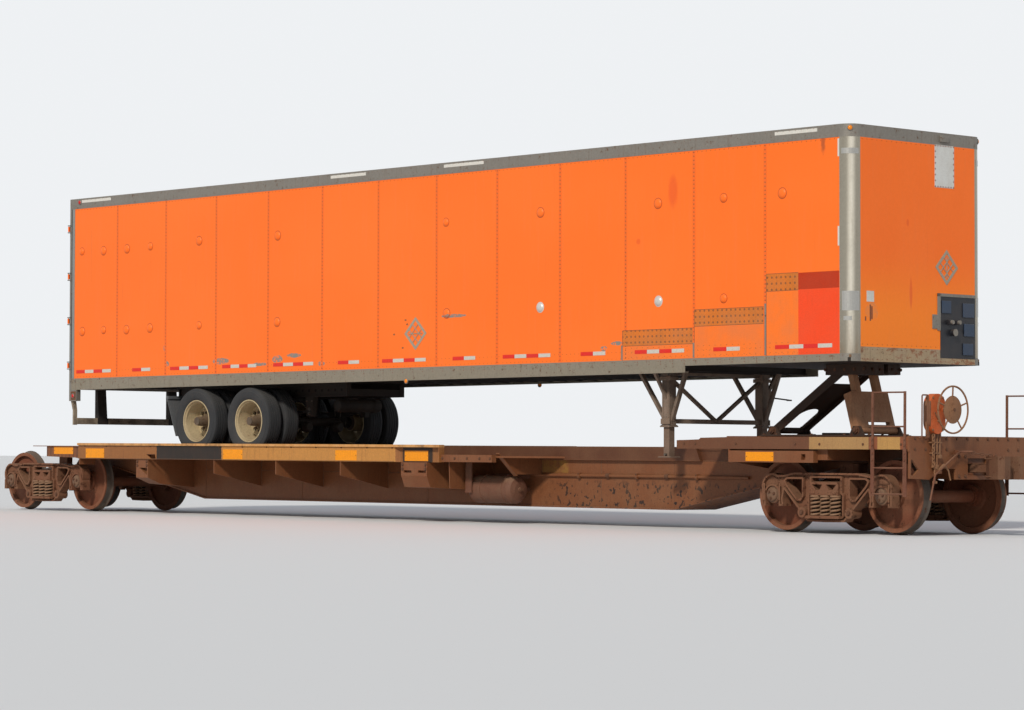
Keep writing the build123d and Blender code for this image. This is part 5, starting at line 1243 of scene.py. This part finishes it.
def build_running_gear():
    """Brake chambers, slack adjusters, U-bolts, air tank, black discs as painted shade in the slider's holes,
    and mud-flap bolts.
    """
    spring_y, tube_r, tank = 0.52, 0.063, Vector((-2.2, 0.0, 1.655))
    chamber = ((0.0, 0.0), (0.0, 0.052), (0.012, 0.074), (0.058, 0.082), (0.060, 0.090), (0.074, 0.090),
               (0.076, 0.082), (0.120, 0.078), (0.150, 0.060), (0.155, 0.0))
    bm = bmesh.new()
    for x in TYRE_AXLES.values():
        for s in (-1, 1):
            # Spring-brake chamber, its clamp band and the push rod to the slack adjuster
            turned(bm, chamber, (x + 0.115, s * 0.30, 1.345), axis="X", steps=24, closed=False)
            side_block(bm, s, (x + 0.02, 0.24, 1.335), (x + 0.115, 0.36, 1.355), 0.003)
            rod(bm, (x + 0.115, s * 0.30, 1.345), (x - 0.10, s * 0.30, 1.345), 0.010, 8, material=1)
            side_block(bm, s, (x - 0.13, 0.285, 1.315), (x - 0.07, 0.315, 1.49), 0.008, 2)
            rod(bm, (x - 0.10, s * 0.27, 1.475), (x - 0.10, s * 0.66, 1.475), 0.016, 12)
            for y in (0.40, 0.60):
                side_block(bm, s, (x - 0.115, y - 0.006, 1.42), (x - 0.03, y + 0.006, 1.50), 0.002)
            # U-bolts round the spring and axle, with their nuts
            for dx, dy in product((-0.062, 0.062), (-0.052, 0.052)):
                for z0, z1, radius, sides in ((1.33, 1.615, 0.010, 8), (1.590, 1.606, 0.018, 6),
                                              (1.332, 1.344, 0.018, 6)):
                    y = s * (spring_y + dy)
                    rod(bm, (x + dx, y, z0), (x + dx, y, z1), radius, sides, material=1)
            side_block(bm, s, (x - 0.085, spring_y - 0.07, 1.344), (x + 0.085, spring_y + 0.07, 1.354), 0.002)
        for y in (-0.66, 0.66):
            collar = [(y - 0.008, tube_r), (y - 0.006, tube_r + 0.02), (y + 0.006, tube_r + 0.02),
                      (y + 0.008, tube_r)]
            turned(bm, collar, (x, 0, TYRE_AXLE_Z), steps=28)
    piece(bm, "axle_fittings", "car", ["trailer_under", "under_bare"])
    bm = bmesh.new()
    for x, s in product((-5.015, -3.83, -2.645), (-1, 1)):
        for dx, z, radius, height in ((0.0, 1.535, 0.020, 0.016), (0.0, 1.60, 0.020, 0.016),
                                      (-0.06, 1.72, 0.012, 0.012), (0.06, 1.72, 0.012, 0.012)):
            hex_head(bm, (x + dx, s * (spring_y + 0.045), z), (0, s, 0), radius, height)
    piece(bm, "hanger_bolts", "car", ["under_bare"])
    bm = bmesh.new()
    # Near-black discs on both faces of the slider: painted shade in its holes
    for s, (y0, y1) in product((-1, 1), ((0.5255, 0.5275), (0.4795, 0.4775))):
        rod(bm, (-14.16, s * y0, -0.165), (-14.16, s * y1, -0.165), 0.022, 14)
    repeat(piece(bm, "slider_holes", "car", ["hole_shade"], TRAILER), 26, (0.148, 0, 0))
    bm = bmesh.new()
    shell = [(-0.42, 0.0), (-0.42, 0.05), (-0.40, 0.088), (-0.37, 0.098)]
    turned(bm, shell + [(-a, r) for a, r in reversed(shell)], tank, steps=28, closed=False)
    for y in (-0.27, 0.27):
        turned(bm, [(y - 0.02, 0.0985), (y - 0.02, 0.102), (y + 0.02, 0.102), (y + 0.02, 0.0985)], tank,
               steps=28)
        block(bm, (-2.50, y - 0.02, 1.745), (-1.90, y + 0.02, 1.760), 0.002)
        for dx in (-0.098, 0.098):
            rod(bm, tank + Vector((dx, y, 0)), tank + Vector((dx, y, 0.095)), 0.006, 8)
    rod(bm, tank - Vector((0, 0, 0.098)), tank - Vector((0, 0, 0.120)), 0.010, 8)
    piece(bm, "air_tank", "car", ["trailer_under"])
    bm = bmesh.new()
    for s in (-1, 1):
        for i in range(5):
            hex_head(bm, (-5.176, s * (0.72 + 0.13 * i), 1.777), BACK, 0.011, 0.010)
        side_block(bm, s, (-5.160, 0.69, 1.715), (-5.146, 1.28, 1.750), 0.002)
    piece(bm, "mud_flap_bolts", "car", ["under_bare"])


def build_landing_gear():
    """Gearbox and folded crank, bolts of the legs' collars and braces, ribs and sand shoe plates."""
    leg_x, leg_y, collar = -3.456, 0.900, -0.760
    bm = bmesh.new()
    for s in (-1, 1):
        out = (0, s, 0)
        for dx, dy in product((-0.068, 0.068), repeat=2):
            hex_head(bm, (leg_x + dx, s * leg_y + dy, collar), UP, 0.012, 0.012, material=1)
        for h, dx in product((-0.066, -0.094), (-0.06, 0.06)):
            hex_head(bm, (leg_x + dx, s * (leg_y + 0.075), h), out, 0.010, 0.010, material=1)
        for rib in (leg_x - 0.045, leg_x + 0.045):
            side_block(bm, s, (rib - 0.006, leg_y + 0.065, collar + 0.02),
                       (rib + 0.006, leg_y + 0.071, -0.13), 0.002)
        for reach in (-0.50, 0.29):
            hex_head(bm, (leg_x + reach, s * (leg_y + 0.02), -0.05), out, 0.014, 0.014, material=1)
        # Clamp plate where the tie tube meets the leg, a bracket at its head, and the shoe's plate and pin
        for low, high, bevel in (((-0.080, 0.065, -0.740), (0.080, 0.080, -0.665), 0.004),
                                 ((-0.095, -0.080, -0.165), (0.095, 0.082, -0.115), 0.006),
                                 ((-0.115, -0.095, -1.174), (0.115, 0.095, -1.168), 0.002)):
            leg = Vector((leg_x, leg_y, 0.0))
            side_block(bm, s, leg + Vector(low), leg + Vector(high), bevel)
        rod(bm, (leg_x, s * leg_y - 0.088, -1.135), (leg_x, s * leg_y + 0.088, -1.135), 0.016, 12, material=1)
    # Gearbox on the left leg, with its crank folded along the side
    box = Vector((leg_x, leg_y + 0.065, -0.365))
    block(bm, box + Vector((-0.060, 0, -0.095)), box + Vector((0.060, 0.075, 0.095)), 0.012, 2)
    rod(bm, box + Vector((0, 0.075, 0)), box + Vector((0, 0.11, 0)), 0.018, 12, material=1)
    crank = ((0.0, 0.11, 0.0), (0.0, 0.17, 0.0), (0.02, 0.20, -0.005), (0.28, 0.20, -0.035),
             (0.30, 0.19, -0.035), (0.30, 0.10, -0.035))
    bar(bm, [box + Vector(bend) for bend in crank], 0.010, 10, material=1)
    for dx, dh in product((-0.045, 0.045), (-0.080, 0.080)):
        hex_head(bm, box + Vector((dx, 0.075, dh)), (0, 1, 0), 0.008, 0.008, material=1)
    piece(bm, "landing_gear_details", "car", ["leg_primer", "under_bare"], TRAILER)


# Flatcar

REFLECTORS = ((-8.064, -7.552, 0.904, 1.019, 1.275), (-7.172, -6.693, 0.850, 0.995, 1.310),
              (-3.743, -3.283, 0.850, 0.995, 1.310), (-1.170, -0.700, 0.850, 0.995, 1.310),
              (0.260, 0.750, 0.850, 0.995, 1.250), (6.770, 7.240, 0.895, 1.010, 1.300))


def build_reflectors(car):
    """Yellow reflective plates along both sides."""
    for side, s in SIDES:
        bm = bmesh.new()
        for x0, x1, z0, z1, y in REFLECTORS:
            side_block(bm, s, (x0, y, z0), (x1, y + 0.0022, z1), 0.0008)
            for x in (x0 + 0.018, x1 - 0.018):
                rivet(bm, (x, s * (y + 0.002), (z0 + z1) / 2), (0, s, 0), 0.008, 0.003, material=1)
        piece(bm, f"reflectors_{side}", "car",
              [coat("reflector_yellow", paint=car.reflector), "bolt_rust"])


def build_spine_details(car):
    """Weld beads along the girder and its brackets, and bolts of the pedestals, arms and sills."""
    web, fish_low, flange_low, flange_high = 0.390, 0.253, 0.678, 0.885
    for side, s in SIDES:
        bm = bmesh.new()

        def bead(x0, y0, z0, x1, y1, z1, size=1.0):
            """Straight weld bead, given for the left side."""
            rod(bm, (x0, s * y0, z0), (x1, s * y1, z1), car.weld * size, 6)

        for x0, x1, y, z in ((-5.3, 4.66, web, fish_low), (-8.2, 5.6, web, flange_high),
                             (-5.3, 4.66, web, flange_low), (-8.2, 5.6, 0.450, 1.065)):
            bead(x0, y, z, x1, y, z)
        for x in (-5.3, -3.0, -0.2, 3.3, 4.66):
            bead(x, web, 0.26, x, web, flange_high)
        # Fillets where the cross brackets meet the girder
        for x, dx in product((-3.97, -2.52, -1.07), (-0.008, 0.008)):
            bead(x + dx, 0.452, 0.904, x + dx, 1.298, 0.904)
            bead(x + dx, 0.392, 0.46, x + dx, 0.392, 0.88)
        for x, dx in product((1.146, 2.134), (-0.008, 0.008)):
            bead(x + dx, 0.392, 0.70, x + dx, 0.392, 0.88)
        bead(-7.36, 1.311, 0.842, 0.11, 1.311, 0.842, 0.7)
        piece(bm, f"weld_beads_{side}", "car", ["weld_bead"])
        # Pedestal bolts, then those of the arms, the outer sill and the end sills
        bolts = [(x, 1.290, z, 1.0, 0.014) for x, z in product((-5.865, -5.630, 0.260, 0.740), (0.74, 0.80))]
        bolts += [(x, 1.300, 0.893, 0.8, 0.012) for x in (1.10, 1.35, 1.60, 1.85, 2.06)]
        bolts += [(x, SILL_Y, 1.035, 0.6, 0.008) for x in [-7.20 + 0.56 * i for i in range(13)] + [0.06]]
        bolts += [(x, 1.300, 1.11, 0.7, 0.010) for x in (5.70, 5.90, 6.60, 7.60, 8.0, 8.70, 9.30)]
        bm = bmesh.new()
        for x, y, z, size, height in bolts:
            hex_head(bm, (x, s * y, z), (0, s, 0), car.bolt * size, height)
        piece(bm, f"sill_bolts_{side}", "car", ["bolt_rust"])


def build_reservoir_details():
    """Straps, weld rings and drain cock on the reservoir, and couplings on the train pipe."""
    tank, radius = Vector((1.63, -0.75, 0.469)), 0.190
    pipe_y, pipe_z = -0.412, 0.675
    bm = bmesh.new()
    for x in (-0.180, 0.250):
        strap = ((-0.025, 0.0005), (-0.024, 0.006), (0.024, 0.006), (0.025, 0.0005))
        turned(bm, [(x + a, radius + r) for a, r in strap], tank, axis="X", steps=40)
    for x in (-0.362, 0.0, 0.362):
        turned(bm, [(x - 0.008, radius - 0.002), (x, radius + 0.004), (x + 0.008, radius - 0.002)], tank,
               axis="X", steps=40)
    rod(bm, tank + Vector((0.10, 0, -0.188)), tank + Vector((0.10, 0, -0.215)), 0.018, 10, material=1)
    for x, z in product((-0.180, 0.250), (0.165, 0.195)):
        hex_head(bm, tank + Vector((x, 0.10, z)), (0, -1, 0), 0.012, 0.014, material=1)
    rod(bm, tank + Vector((0.449, 0, 0)), tank + Vector((0.470, 0, 0)), 0.034, 12)
    rod(bm, tank + Vector((0.470, 0, 0)), tank + Vector((0.490, 0, 0)), 0.022, 6, material=1)
    piece(bm, "reservoir_fittings", "car", ["reservoir_dark", "bolt_rust"])
    bm = bmesh.new()
    for x0, x1 in ((2.02, 2.605), (5.395, 6.02)):
        rod(bm, (x0, pipe_y, pipe_z), (x1, pipe_y, pipe_z), 0.0215, 12, material=1)
    for x, dz in product((2.90, 4.00, 5.10), (-0.025, 0.025)):
        hex_head(bm, (x, -0.440, pipe_z + dz), (0, -1, 0), 0.009, 0.008)
    for x in (3.45, 4.55):
        sleeve = ((x - 0.035, 0.0225), (x - 0.030, 0.032), (x + 0.030, 0.032), (x + 0.035, 0.0225))
        turned(bm, sleeve, (0, pipe_y, pipe_z), axis="X", steps=16)
    piece(bm, "pipe_fittings", "car", ["bolt_rust", "car_brown"])


def chain(bm, start, end, count, wire, length):
    """Chain of round links between two points, every other one turned a quarter."""
    start, end = Vector(start), Vector(end)
    along = matrix_between(start, end).to_3x3().to_4x4()
    for i in range(count):
        centre = start.lerp(end, (i + 0.5) / count)
        turn = Matrix.Translation(centre) @ along @ Matrix.Rotation(pi / 2 * (i % 2), 4, "Z")
        ring = [turn @ Vector((0.45 * length * sin(2 * pi * k / 10) * 0.6, 0,
                               0.5 * length * cos(2 * pi * k / 10))) for k in range(10)]
        bar(bm, ring, wire, 6, closed=True)


def build_hitch_details(car):
    """Pin nuts, base bolts and latch of the folding hitch, and the bolts and jaw of its head."""
    pin_z, head_x = 1.290, -0.914
    bm = bmesh.new()
    for (x, half), s in product(((6.340, 0.312), (7.816, 0.392)), (-1, 1)):
        hex_head(bm, (x, s * half, pin_z), (0, s, 0), 0.040, 0.030, material=1)
        rod(bm, (x, s * (half + 0.030), pin_z), (x, s * (half + 0.048), pin_z), 0.020, 12, material=1)
    for x, s in product((6.24, 6.45, 7.05, 7.60, 8.01), (-1, 1)):
        hex_head(bm, (x, s * 0.370, 1.235), UP, car.bolt, 0.014, material=1)
    # Latch block seated on the base plate
    block(bm, (6.95, -0.06, 1.235), (7.35, 0.06, 1.262), 0.008, 2)
    piece(bm, "hitch_fittings", "car", ["hitch_dark", "bolt_rust"])
    bm = bmesh.new()
    for s in (-1, 1):
        for dx in (-0.32, -0.16, 0.0, 0.16, 0.32):
            hex_head(bm, (head_x + dx, s * 0.360, -0.065), (0, s, 0), 0.016, 0.010, material=1)
        for y in (-0.26, -0.12, 0.12, 0.26):
            hex_head(bm, (head_x + 0.380, y, -0.065), AHEAD, 0.016, 0.010, material=1)
        side_block(bm, s, (-0.66, 0.042, -0.11), (-0.535, 0.056, -0.03), 0.003, material=1)
    rod(bm, (-0.70, -0.345, -0.115), (-0.70, 0.345, -0.115), 0.012, 10)
    piece(bm, "hitch_head_fittings", "car", ["jaw_worn", "bolt_rust"], TRAILER)


def build_end_details(car):
    """Brake chain and clevis, wheel nut, end sill bolts, ladder bolts and coupler fittings."""
    bm = bmesh.new()
    chain(bm, (9.475, -0.905, 1.240), (9.475, -0.905, 0.850), 9, car.chain, 0.060)
    rod(bm, (9.462, -0.861, 0.900), (9.462, -0.861, 0.650), 0.012, 8)
    block(bm, (9.445, -0.890, 0.640), (9.482, -0.832, 0.672), 0.004)
    for y, z in ((-0.820, 0.860), (-0.765, 0.980)):
        rod(bm, (9.462, y, 1.242), (9.462, y, z), 0.010, 8)
        block(bm, (9.430, y - 0.030, z - 0.035), (9.476, y + 0.030, z + 0.010), 0.006, 2)
    for y0, y1, z in ((-0.95, -0.73, 1.130), (-0.93, -0.78, 1.000)):
        block(bm, (9.430, y0, z), (9.472, y1, z + 0.016), 0.003)
    # Bell crank with its pull rod
    bar(bm, [(9.462, -0.905, 0.850), (9.468, -0.800, 0.800), (9.468, -0.690, 0.870)], 0.017, 8)
    hex_head(bm, (9.468, -0.800, 0.800), AHEAD, 0.026, 0.030)
    bar(bm, [(9.462, -0.690, 0.870), (9.462, -0.600, 0.800), (9.462, -0.560, 0.680)], 0.010, 8)
    block(bm, (9.430, -0.840, 0.760), (9.462, -0.760, 0.840), 0.006, 2)
    # Brown post behind the gear housing, with the housing's bolts and its release lever
    block(bm, (9.432, -1.006, 1.200), (9.452, -0.935, 1.700), 0.004)
    for y in (-0.955, -0.770):
        for z in (1.29, 1.68):
            hex_head(bm, (9.510, y, z), AHEAD, 0.012, 0.010)
    rod(bm, (9.512, -0.861, 1.40), (9.540, -0.861, 1.40), 0.016, 10)
    bar(bm, [(9.534, -0.861, 1.40), (9.540, -0.90, 1.44), (9.540, -0.955, 1.50)], 0.007, 8)
    for y in (-0.92, -0.73):
        hex_head(bm, (9.430, y, 1.258), AHEAD, 0.012, 0.010)
    piece(bm, "hand_brake_fittings", "car", ["brake_wheel"])
    bm = bmesh.new()
    rod(bm, (9.655, -0.754, 1.535), (9.6795, -0.754, 1.535), 0.024, 6)
    turned(bm, [(0.0, 0.050), (0.006, 0.046), (0.012, 0.030), (0.014, 0.022)], (9.656, -0.754, 1.535),
           axis="X", steps=24, closed=False)
    piece(bm, "brake_wheel_nut", "car", ["bolt_rust"])
    bm = bmesh.new()
    for i in range(13):
        y = -1.2 + 0.2 * i
        if abs(y + 0.8) > 0.15:
            hex_head(bm, (9.430, y, 1.185), AHEAD, car.bolt * 0.8, 0.012)
        if abs(y) > 0.45:
            hex_head(bm, (9.430, y, 1.055), AHEAD, car.bolt * 0.8, 0.012)
    for y in (-0.36, -0.24, 0.24, 0.36):
        for z in (0.73, 0.97):
            hex_head(bm, (9.430, y, z), AHEAD, car.bolt, 0.014)
    chain(bm, (9.545, -0.34, 1.022), (9.72, -0.07, 0.985), 6, car.chain * 0.7, 0.052)
    piece(bm, "end_sill_bolts", "car", ["bolt_rust"])
    for side, s in SIDES:
        bm = bmesh.new()
        for x in (8.860, 9.365):
            for z in (0.92, 1.00, 1.10, 1.17):
                hex_head(bm, (x, s * 1.316, z), (0, s, 0), 0.011, 0.012)
            for z in (0.51, 0.825):
                turned(bm, [(s * 1.304, 0.0115), (s * 1.305, 0.020), (s * 1.315, 0.019), (s * 1.316, 0.0115)],
                       (x, 0, z), steps=12)
        piece(bm, f"ladder_bolts_{side}", "car", ["ladder_brown"])
    # Coupler head: knuckle pin, lock lifter and the casting's ribs
    bm = bmesh.new()
    rod(bm, (9.845, 0.155, 0.700), (9.845, 0.155, 0.9745), 0.020, 14)
    for z in (0.728, 0.945):
        block(bm, (9.70, -0.205, z - 0.006), (9.93, -0.198, z + 0.006), 0.002)
    for y in (-0.055, 0.0, 0.055):
        block(bm, (9.10, y - 0.006, 0.875), (9.66, y + 0.006, 0.884), 0.003)
    piece(bm, "coupler_fittings", "coupler", ["coupler_cast"])


# Add-on classes

class FlatcarTrailerSizes(PropertyGroup):
    """Sizes and colours of the trailer's dressing."""
    rivet: FloatProperty(name="Rivet radius", description="Radius of a skin rivet's head", default=0.0065,
                         min=0.002, max=0.02, unit="LENGTH", subtype="DISTANCE")
    bolt: FloatProperty(name="Door bolt radius",
                        description="Radius of the bolt heads on the doors and rear frame",
                        default=0.011, min=0.004, max=0.03, unit="LENGTH", subtype="DISTANCE")
    lamp: FloatProperty(name="Lamp radius", description="Radius of a round marker lamp", default=0.032,
                        min=0.015, max=0.08, unit="LENGTH", subtype="DISTANCE")
    tape_red: FloatVectorProperty(name="Tape red", description="Colour of the tape's red blocks",
                                  default=TAPE_RED, size=3, min=0.0, max=1.0, subtype="COLOR")


class FlatcarCarSizes(PropertyGroup):
    """Sizes and colours of the flatcar's fittings."""
    bolt: FloatProperty(name="Bolt radius", description="Radius of a bolt head on the frame", default=0.018,
                        min=0.006, max=0.04, unit="LENGTH", subtype="DISTANCE")
    weld: FloatProperty(name="Weld radius", description="Radius of a weld bead", default=0.005, min=0.001,
                        max=0.02, unit="LENGTH", subtype="DISTANCE")
    chain: FloatProperty(name="Chain wire", description="Radius of the wire of a chain link", default=0.0075,
                         min=0.002, max=0.02, unit="LENGTH", subtype="DISTANCE")
    reflector: FloatVectorProperty(name="Reflector", description="Colour of the side reflectors",
                                   default=REFLECTOR, size=3, min=0.0, max=1.0, subtype="COLOR")


class FlatcarStageSettings(PropertyGroup):
    """Look of the floor and backdrop."""
    backdrop: FloatVectorProperty(name="Backdrop", description="Colour seen behind the car", default=BACKDROP,
                                  size=3, min=0.0, max=1.0, subtype="COLOR")


class FLATCAR_OT_node_finishes(Operator):
    """Give every solid of the frame the finish of its slot"""
    bl_idname = "flatcar.node_finishes"
    bl_label = "Finish the solids"

    def execute(self, context):
        coat_nodes()
        return {"FINISHED"}


class FLATCAR_OT_side_skin(Operator):
    """Add the panel joints, rivets and pressed bosses to the trailer's sides"""
    bl_idname = "flatcar.side_skin"
    bl_label = "Side skin"

    def execute(self, context):
        build_side_skin(context.scene.flatcar_trailer)
        return {"FINISHED"}


class FLATCAR_OT_side_dressing(Operator):
    """Add the tapes, patches, placard holders and lamps to the trailer's sides"""
    bl_idname = "flatcar.side_dressing"
    bl_label = "Side dressing"

    def execute(self, context):
        build_side_dressing(context.scene.flatcar_trailer)
        return {"FINISHED"}


class FLATCAR_OT_nose(Operator):
    """Add the fittings of the trailer's nose"""
    bl_idname = "flatcar.nose"
    bl_label = "Nose fittings"

    def execute(self, context):
        build_front()
        return {"FINISHED"}


class FLATCAR_OT_road_wheels(Operator):
    """Replace the plain tyres with grooved ones and add wheel nuts and caps"""
    bl_idname = "flatcar.road_wheels"
    bl_label = "Road wheels"

    def execute(self, context):
        build_road_wheels()
        return {"FINISHED"}


class FLATCAR_OT_trucks(Operator):
    """Replace the spring stacks with coils and add the castings' details"""
    bl_idname = "flatcar.trucks"
    bl_label = "Rail trucks"

    def execute(self, context):
        build_trucks()
        return {"FINISHED"}


class FLATCAR_OT_doors(Operator):
    """Add the seals, hardware and tapes of the rear doors"""
    bl_idname = "flatcar.doors"
    bl_label = "Rear doors"

    def execute(self, context):
        build_doors(context.scene.flatcar_trailer)
        return {"FINISHED"}


class FLATCAR_OT_rear_frame(Operator):
    """Add the lamps, keepers and tapes of the rear frame and guard"""
    bl_idname = "flatcar.rear_frame"
    bl_label = "Rear frame"

    def execute(self, context):
        build_rear_frame(context.scene.flatcar_trailer)
        return {"FINISHED"}


class FLATCAR_OT_roof(Operator):
    """Add the joints and rivets of the roof"""
    bl_idname = "flatcar.roof"
    bl_label = "Roof joints"

    def execute(self, context):
        build_roof(context.scene.flatcar_trailer)
        return {"FINISHED"}


class FLATCAR_OT_running_gear(Operator):
    """Add the brake chambers, U-bolts, air tank and bolts under the trailer"""
    bl_idname = "flatcar.running_gear"
    bl_label = "Running gear"

    def execute(self, context):
        build_running_gear()
        return {"FINISHED"}


class FLATCAR_OT_landing_gear(Operator):
    """Add the gearbox, crank and bolts of the landing gear"""
    bl_idname = "flatcar.landing_gear"
    bl_label = "Landing gear"

    def execute(self, context):
        build_landing_gear()
        return {"FINISHED"}


class FLATCAR_OT_reflectors(Operator):
    """Add the yellow plates along the flatcar's sides"""
    bl_idname = "flatcar.reflectors"
    bl_label = "Side reflectors"

    def execute(self, context):
        build_reflectors(context.scene.flatcar_car)
        return {"FINISHED"}


class FLATCAR_OT_spine_details(Operator):
    """Add the weld beads and bolts of the spine, sills and pedestals"""
    bl_idname = "flatcar.spine_details"
    bl_label = "Spine details"

    def execute(self, context):
        build_spine_details(context.scene.flatcar_car)
        return {"FINISHED"}


class FLATCAR_OT_reservoir_details(Operator):
    """Add the straps and pipework of the brake reservoir"""
    bl_idname = "flatcar.reservoir_details"
    bl_label = "Reservoir details"

    def execute(self, context):
        build_reservoir_details()
        return {"FINISHED"}


class FLATCAR_OT_hitch_details(Operator):
    """Add the pins, bolts and latch of the folding hitch"""
    bl_idname = "flatcar.hitch_details"
    bl_label = "Hitch details"

    def execute(self, context):
        build_hitch_details(context.scene.flatcar_car)
        return {"FINISHED"}


class FLATCAR_OT_end_details(Operator):
    """Add the fittings of the hand brake, end sill, ladders and coupler"""
    bl_idname = "flatcar.end_details"
    bl_label = "End details"

    def execute(self, context):
        build_end_details(context.scene.flatcar_car)
        return {"FINISHED"}


class FLATCAR_OT_stage(Operator):
    """Add the floor, the lights and the camera"""
    bl_idname = "flatcar.stage"
    bl_label = "Stage"

    def execute(self, context):
        build_stage(context.scene.flatcar_stage.backdrop)
        return {"FINISHED"}


STEPS = (FLATCAR_OT_node_finishes, FLATCAR_OT_side_skin, FLATCAR_OT_side_dressing, FLATCAR_OT_nose,
         FLATCAR_OT_road_wheels, FLATCAR_OT_trucks, FLATCAR_OT_doors, FLATCAR_OT_rear_frame, FLATCAR_OT_roof,
         FLATCAR_OT_running_gear, FLATCAR_OT_landing_gear, FLATCAR_OT_reflectors, FLATCAR_OT_spine_details,
         FLATCAR_OT_reservoir_details, FLATCAR_OT_hitch_details, FLATCAR_OT_end_details, FLATCAR_OT_stage)


class FLATCAR_PT_build(Panel):
    """Buttons for each group of pieces"""
    bl_idname = "FLATCAR_PT_build"
    bl_label = "Flatcar"
    bl_space_type = "VIEW_3D"
    bl_region_type = "UI"
    bl_category = "Flatcar"

    def draw(self, context):
        layout = self.layout
        for owner, names in ((context.scene.flatcar_trailer, ("rivet", "bolt", "lamp", "tape_red")),
                             (context.scene.flatcar_car, ("bolt", "weld", "chain", "reflector")),
                             (context.scene.flatcar_stage, ("backdrop",))):
            for name in names:
                layout.prop(owner, name)
        for step in STEPS:
            layout.operator(step.bl_idname)


CLASSES = (FlatcarTrailerSizes, FlatcarCarSizes, FlatcarStageSettings, *STEPS, FLATCAR_PT_build)


def register():
    for each in CLASSES:
        bpy.utils.register_class(each)
    bpy.types.Scene.flatcar_trailer = PointerProperty(type=FlatcarTrailerSizes)
    bpy.types.Scene.flatcar_car = PointerProperty(type=FlatcarCarSizes)
    bpy.types.Scene.flatcar_stage = PointerProperty(type=FlatcarStageSettings)


def unregister():
    del bpy.types.Scene.flatcar_stage
    del bpy.types.Scene.flatcar_car
    del bpy.types.Scene.flatcar_trailer
    for each in reversed(CLASSES):
        bpy.utils.unregister_class(each)


def main():
    register()
    for step in STEPS:
        group_name, action = step.bl_idname.split(".")
        getattr(getattr(bpy.ops, group_name), action)()


if __name__ == "__main__":
    main()
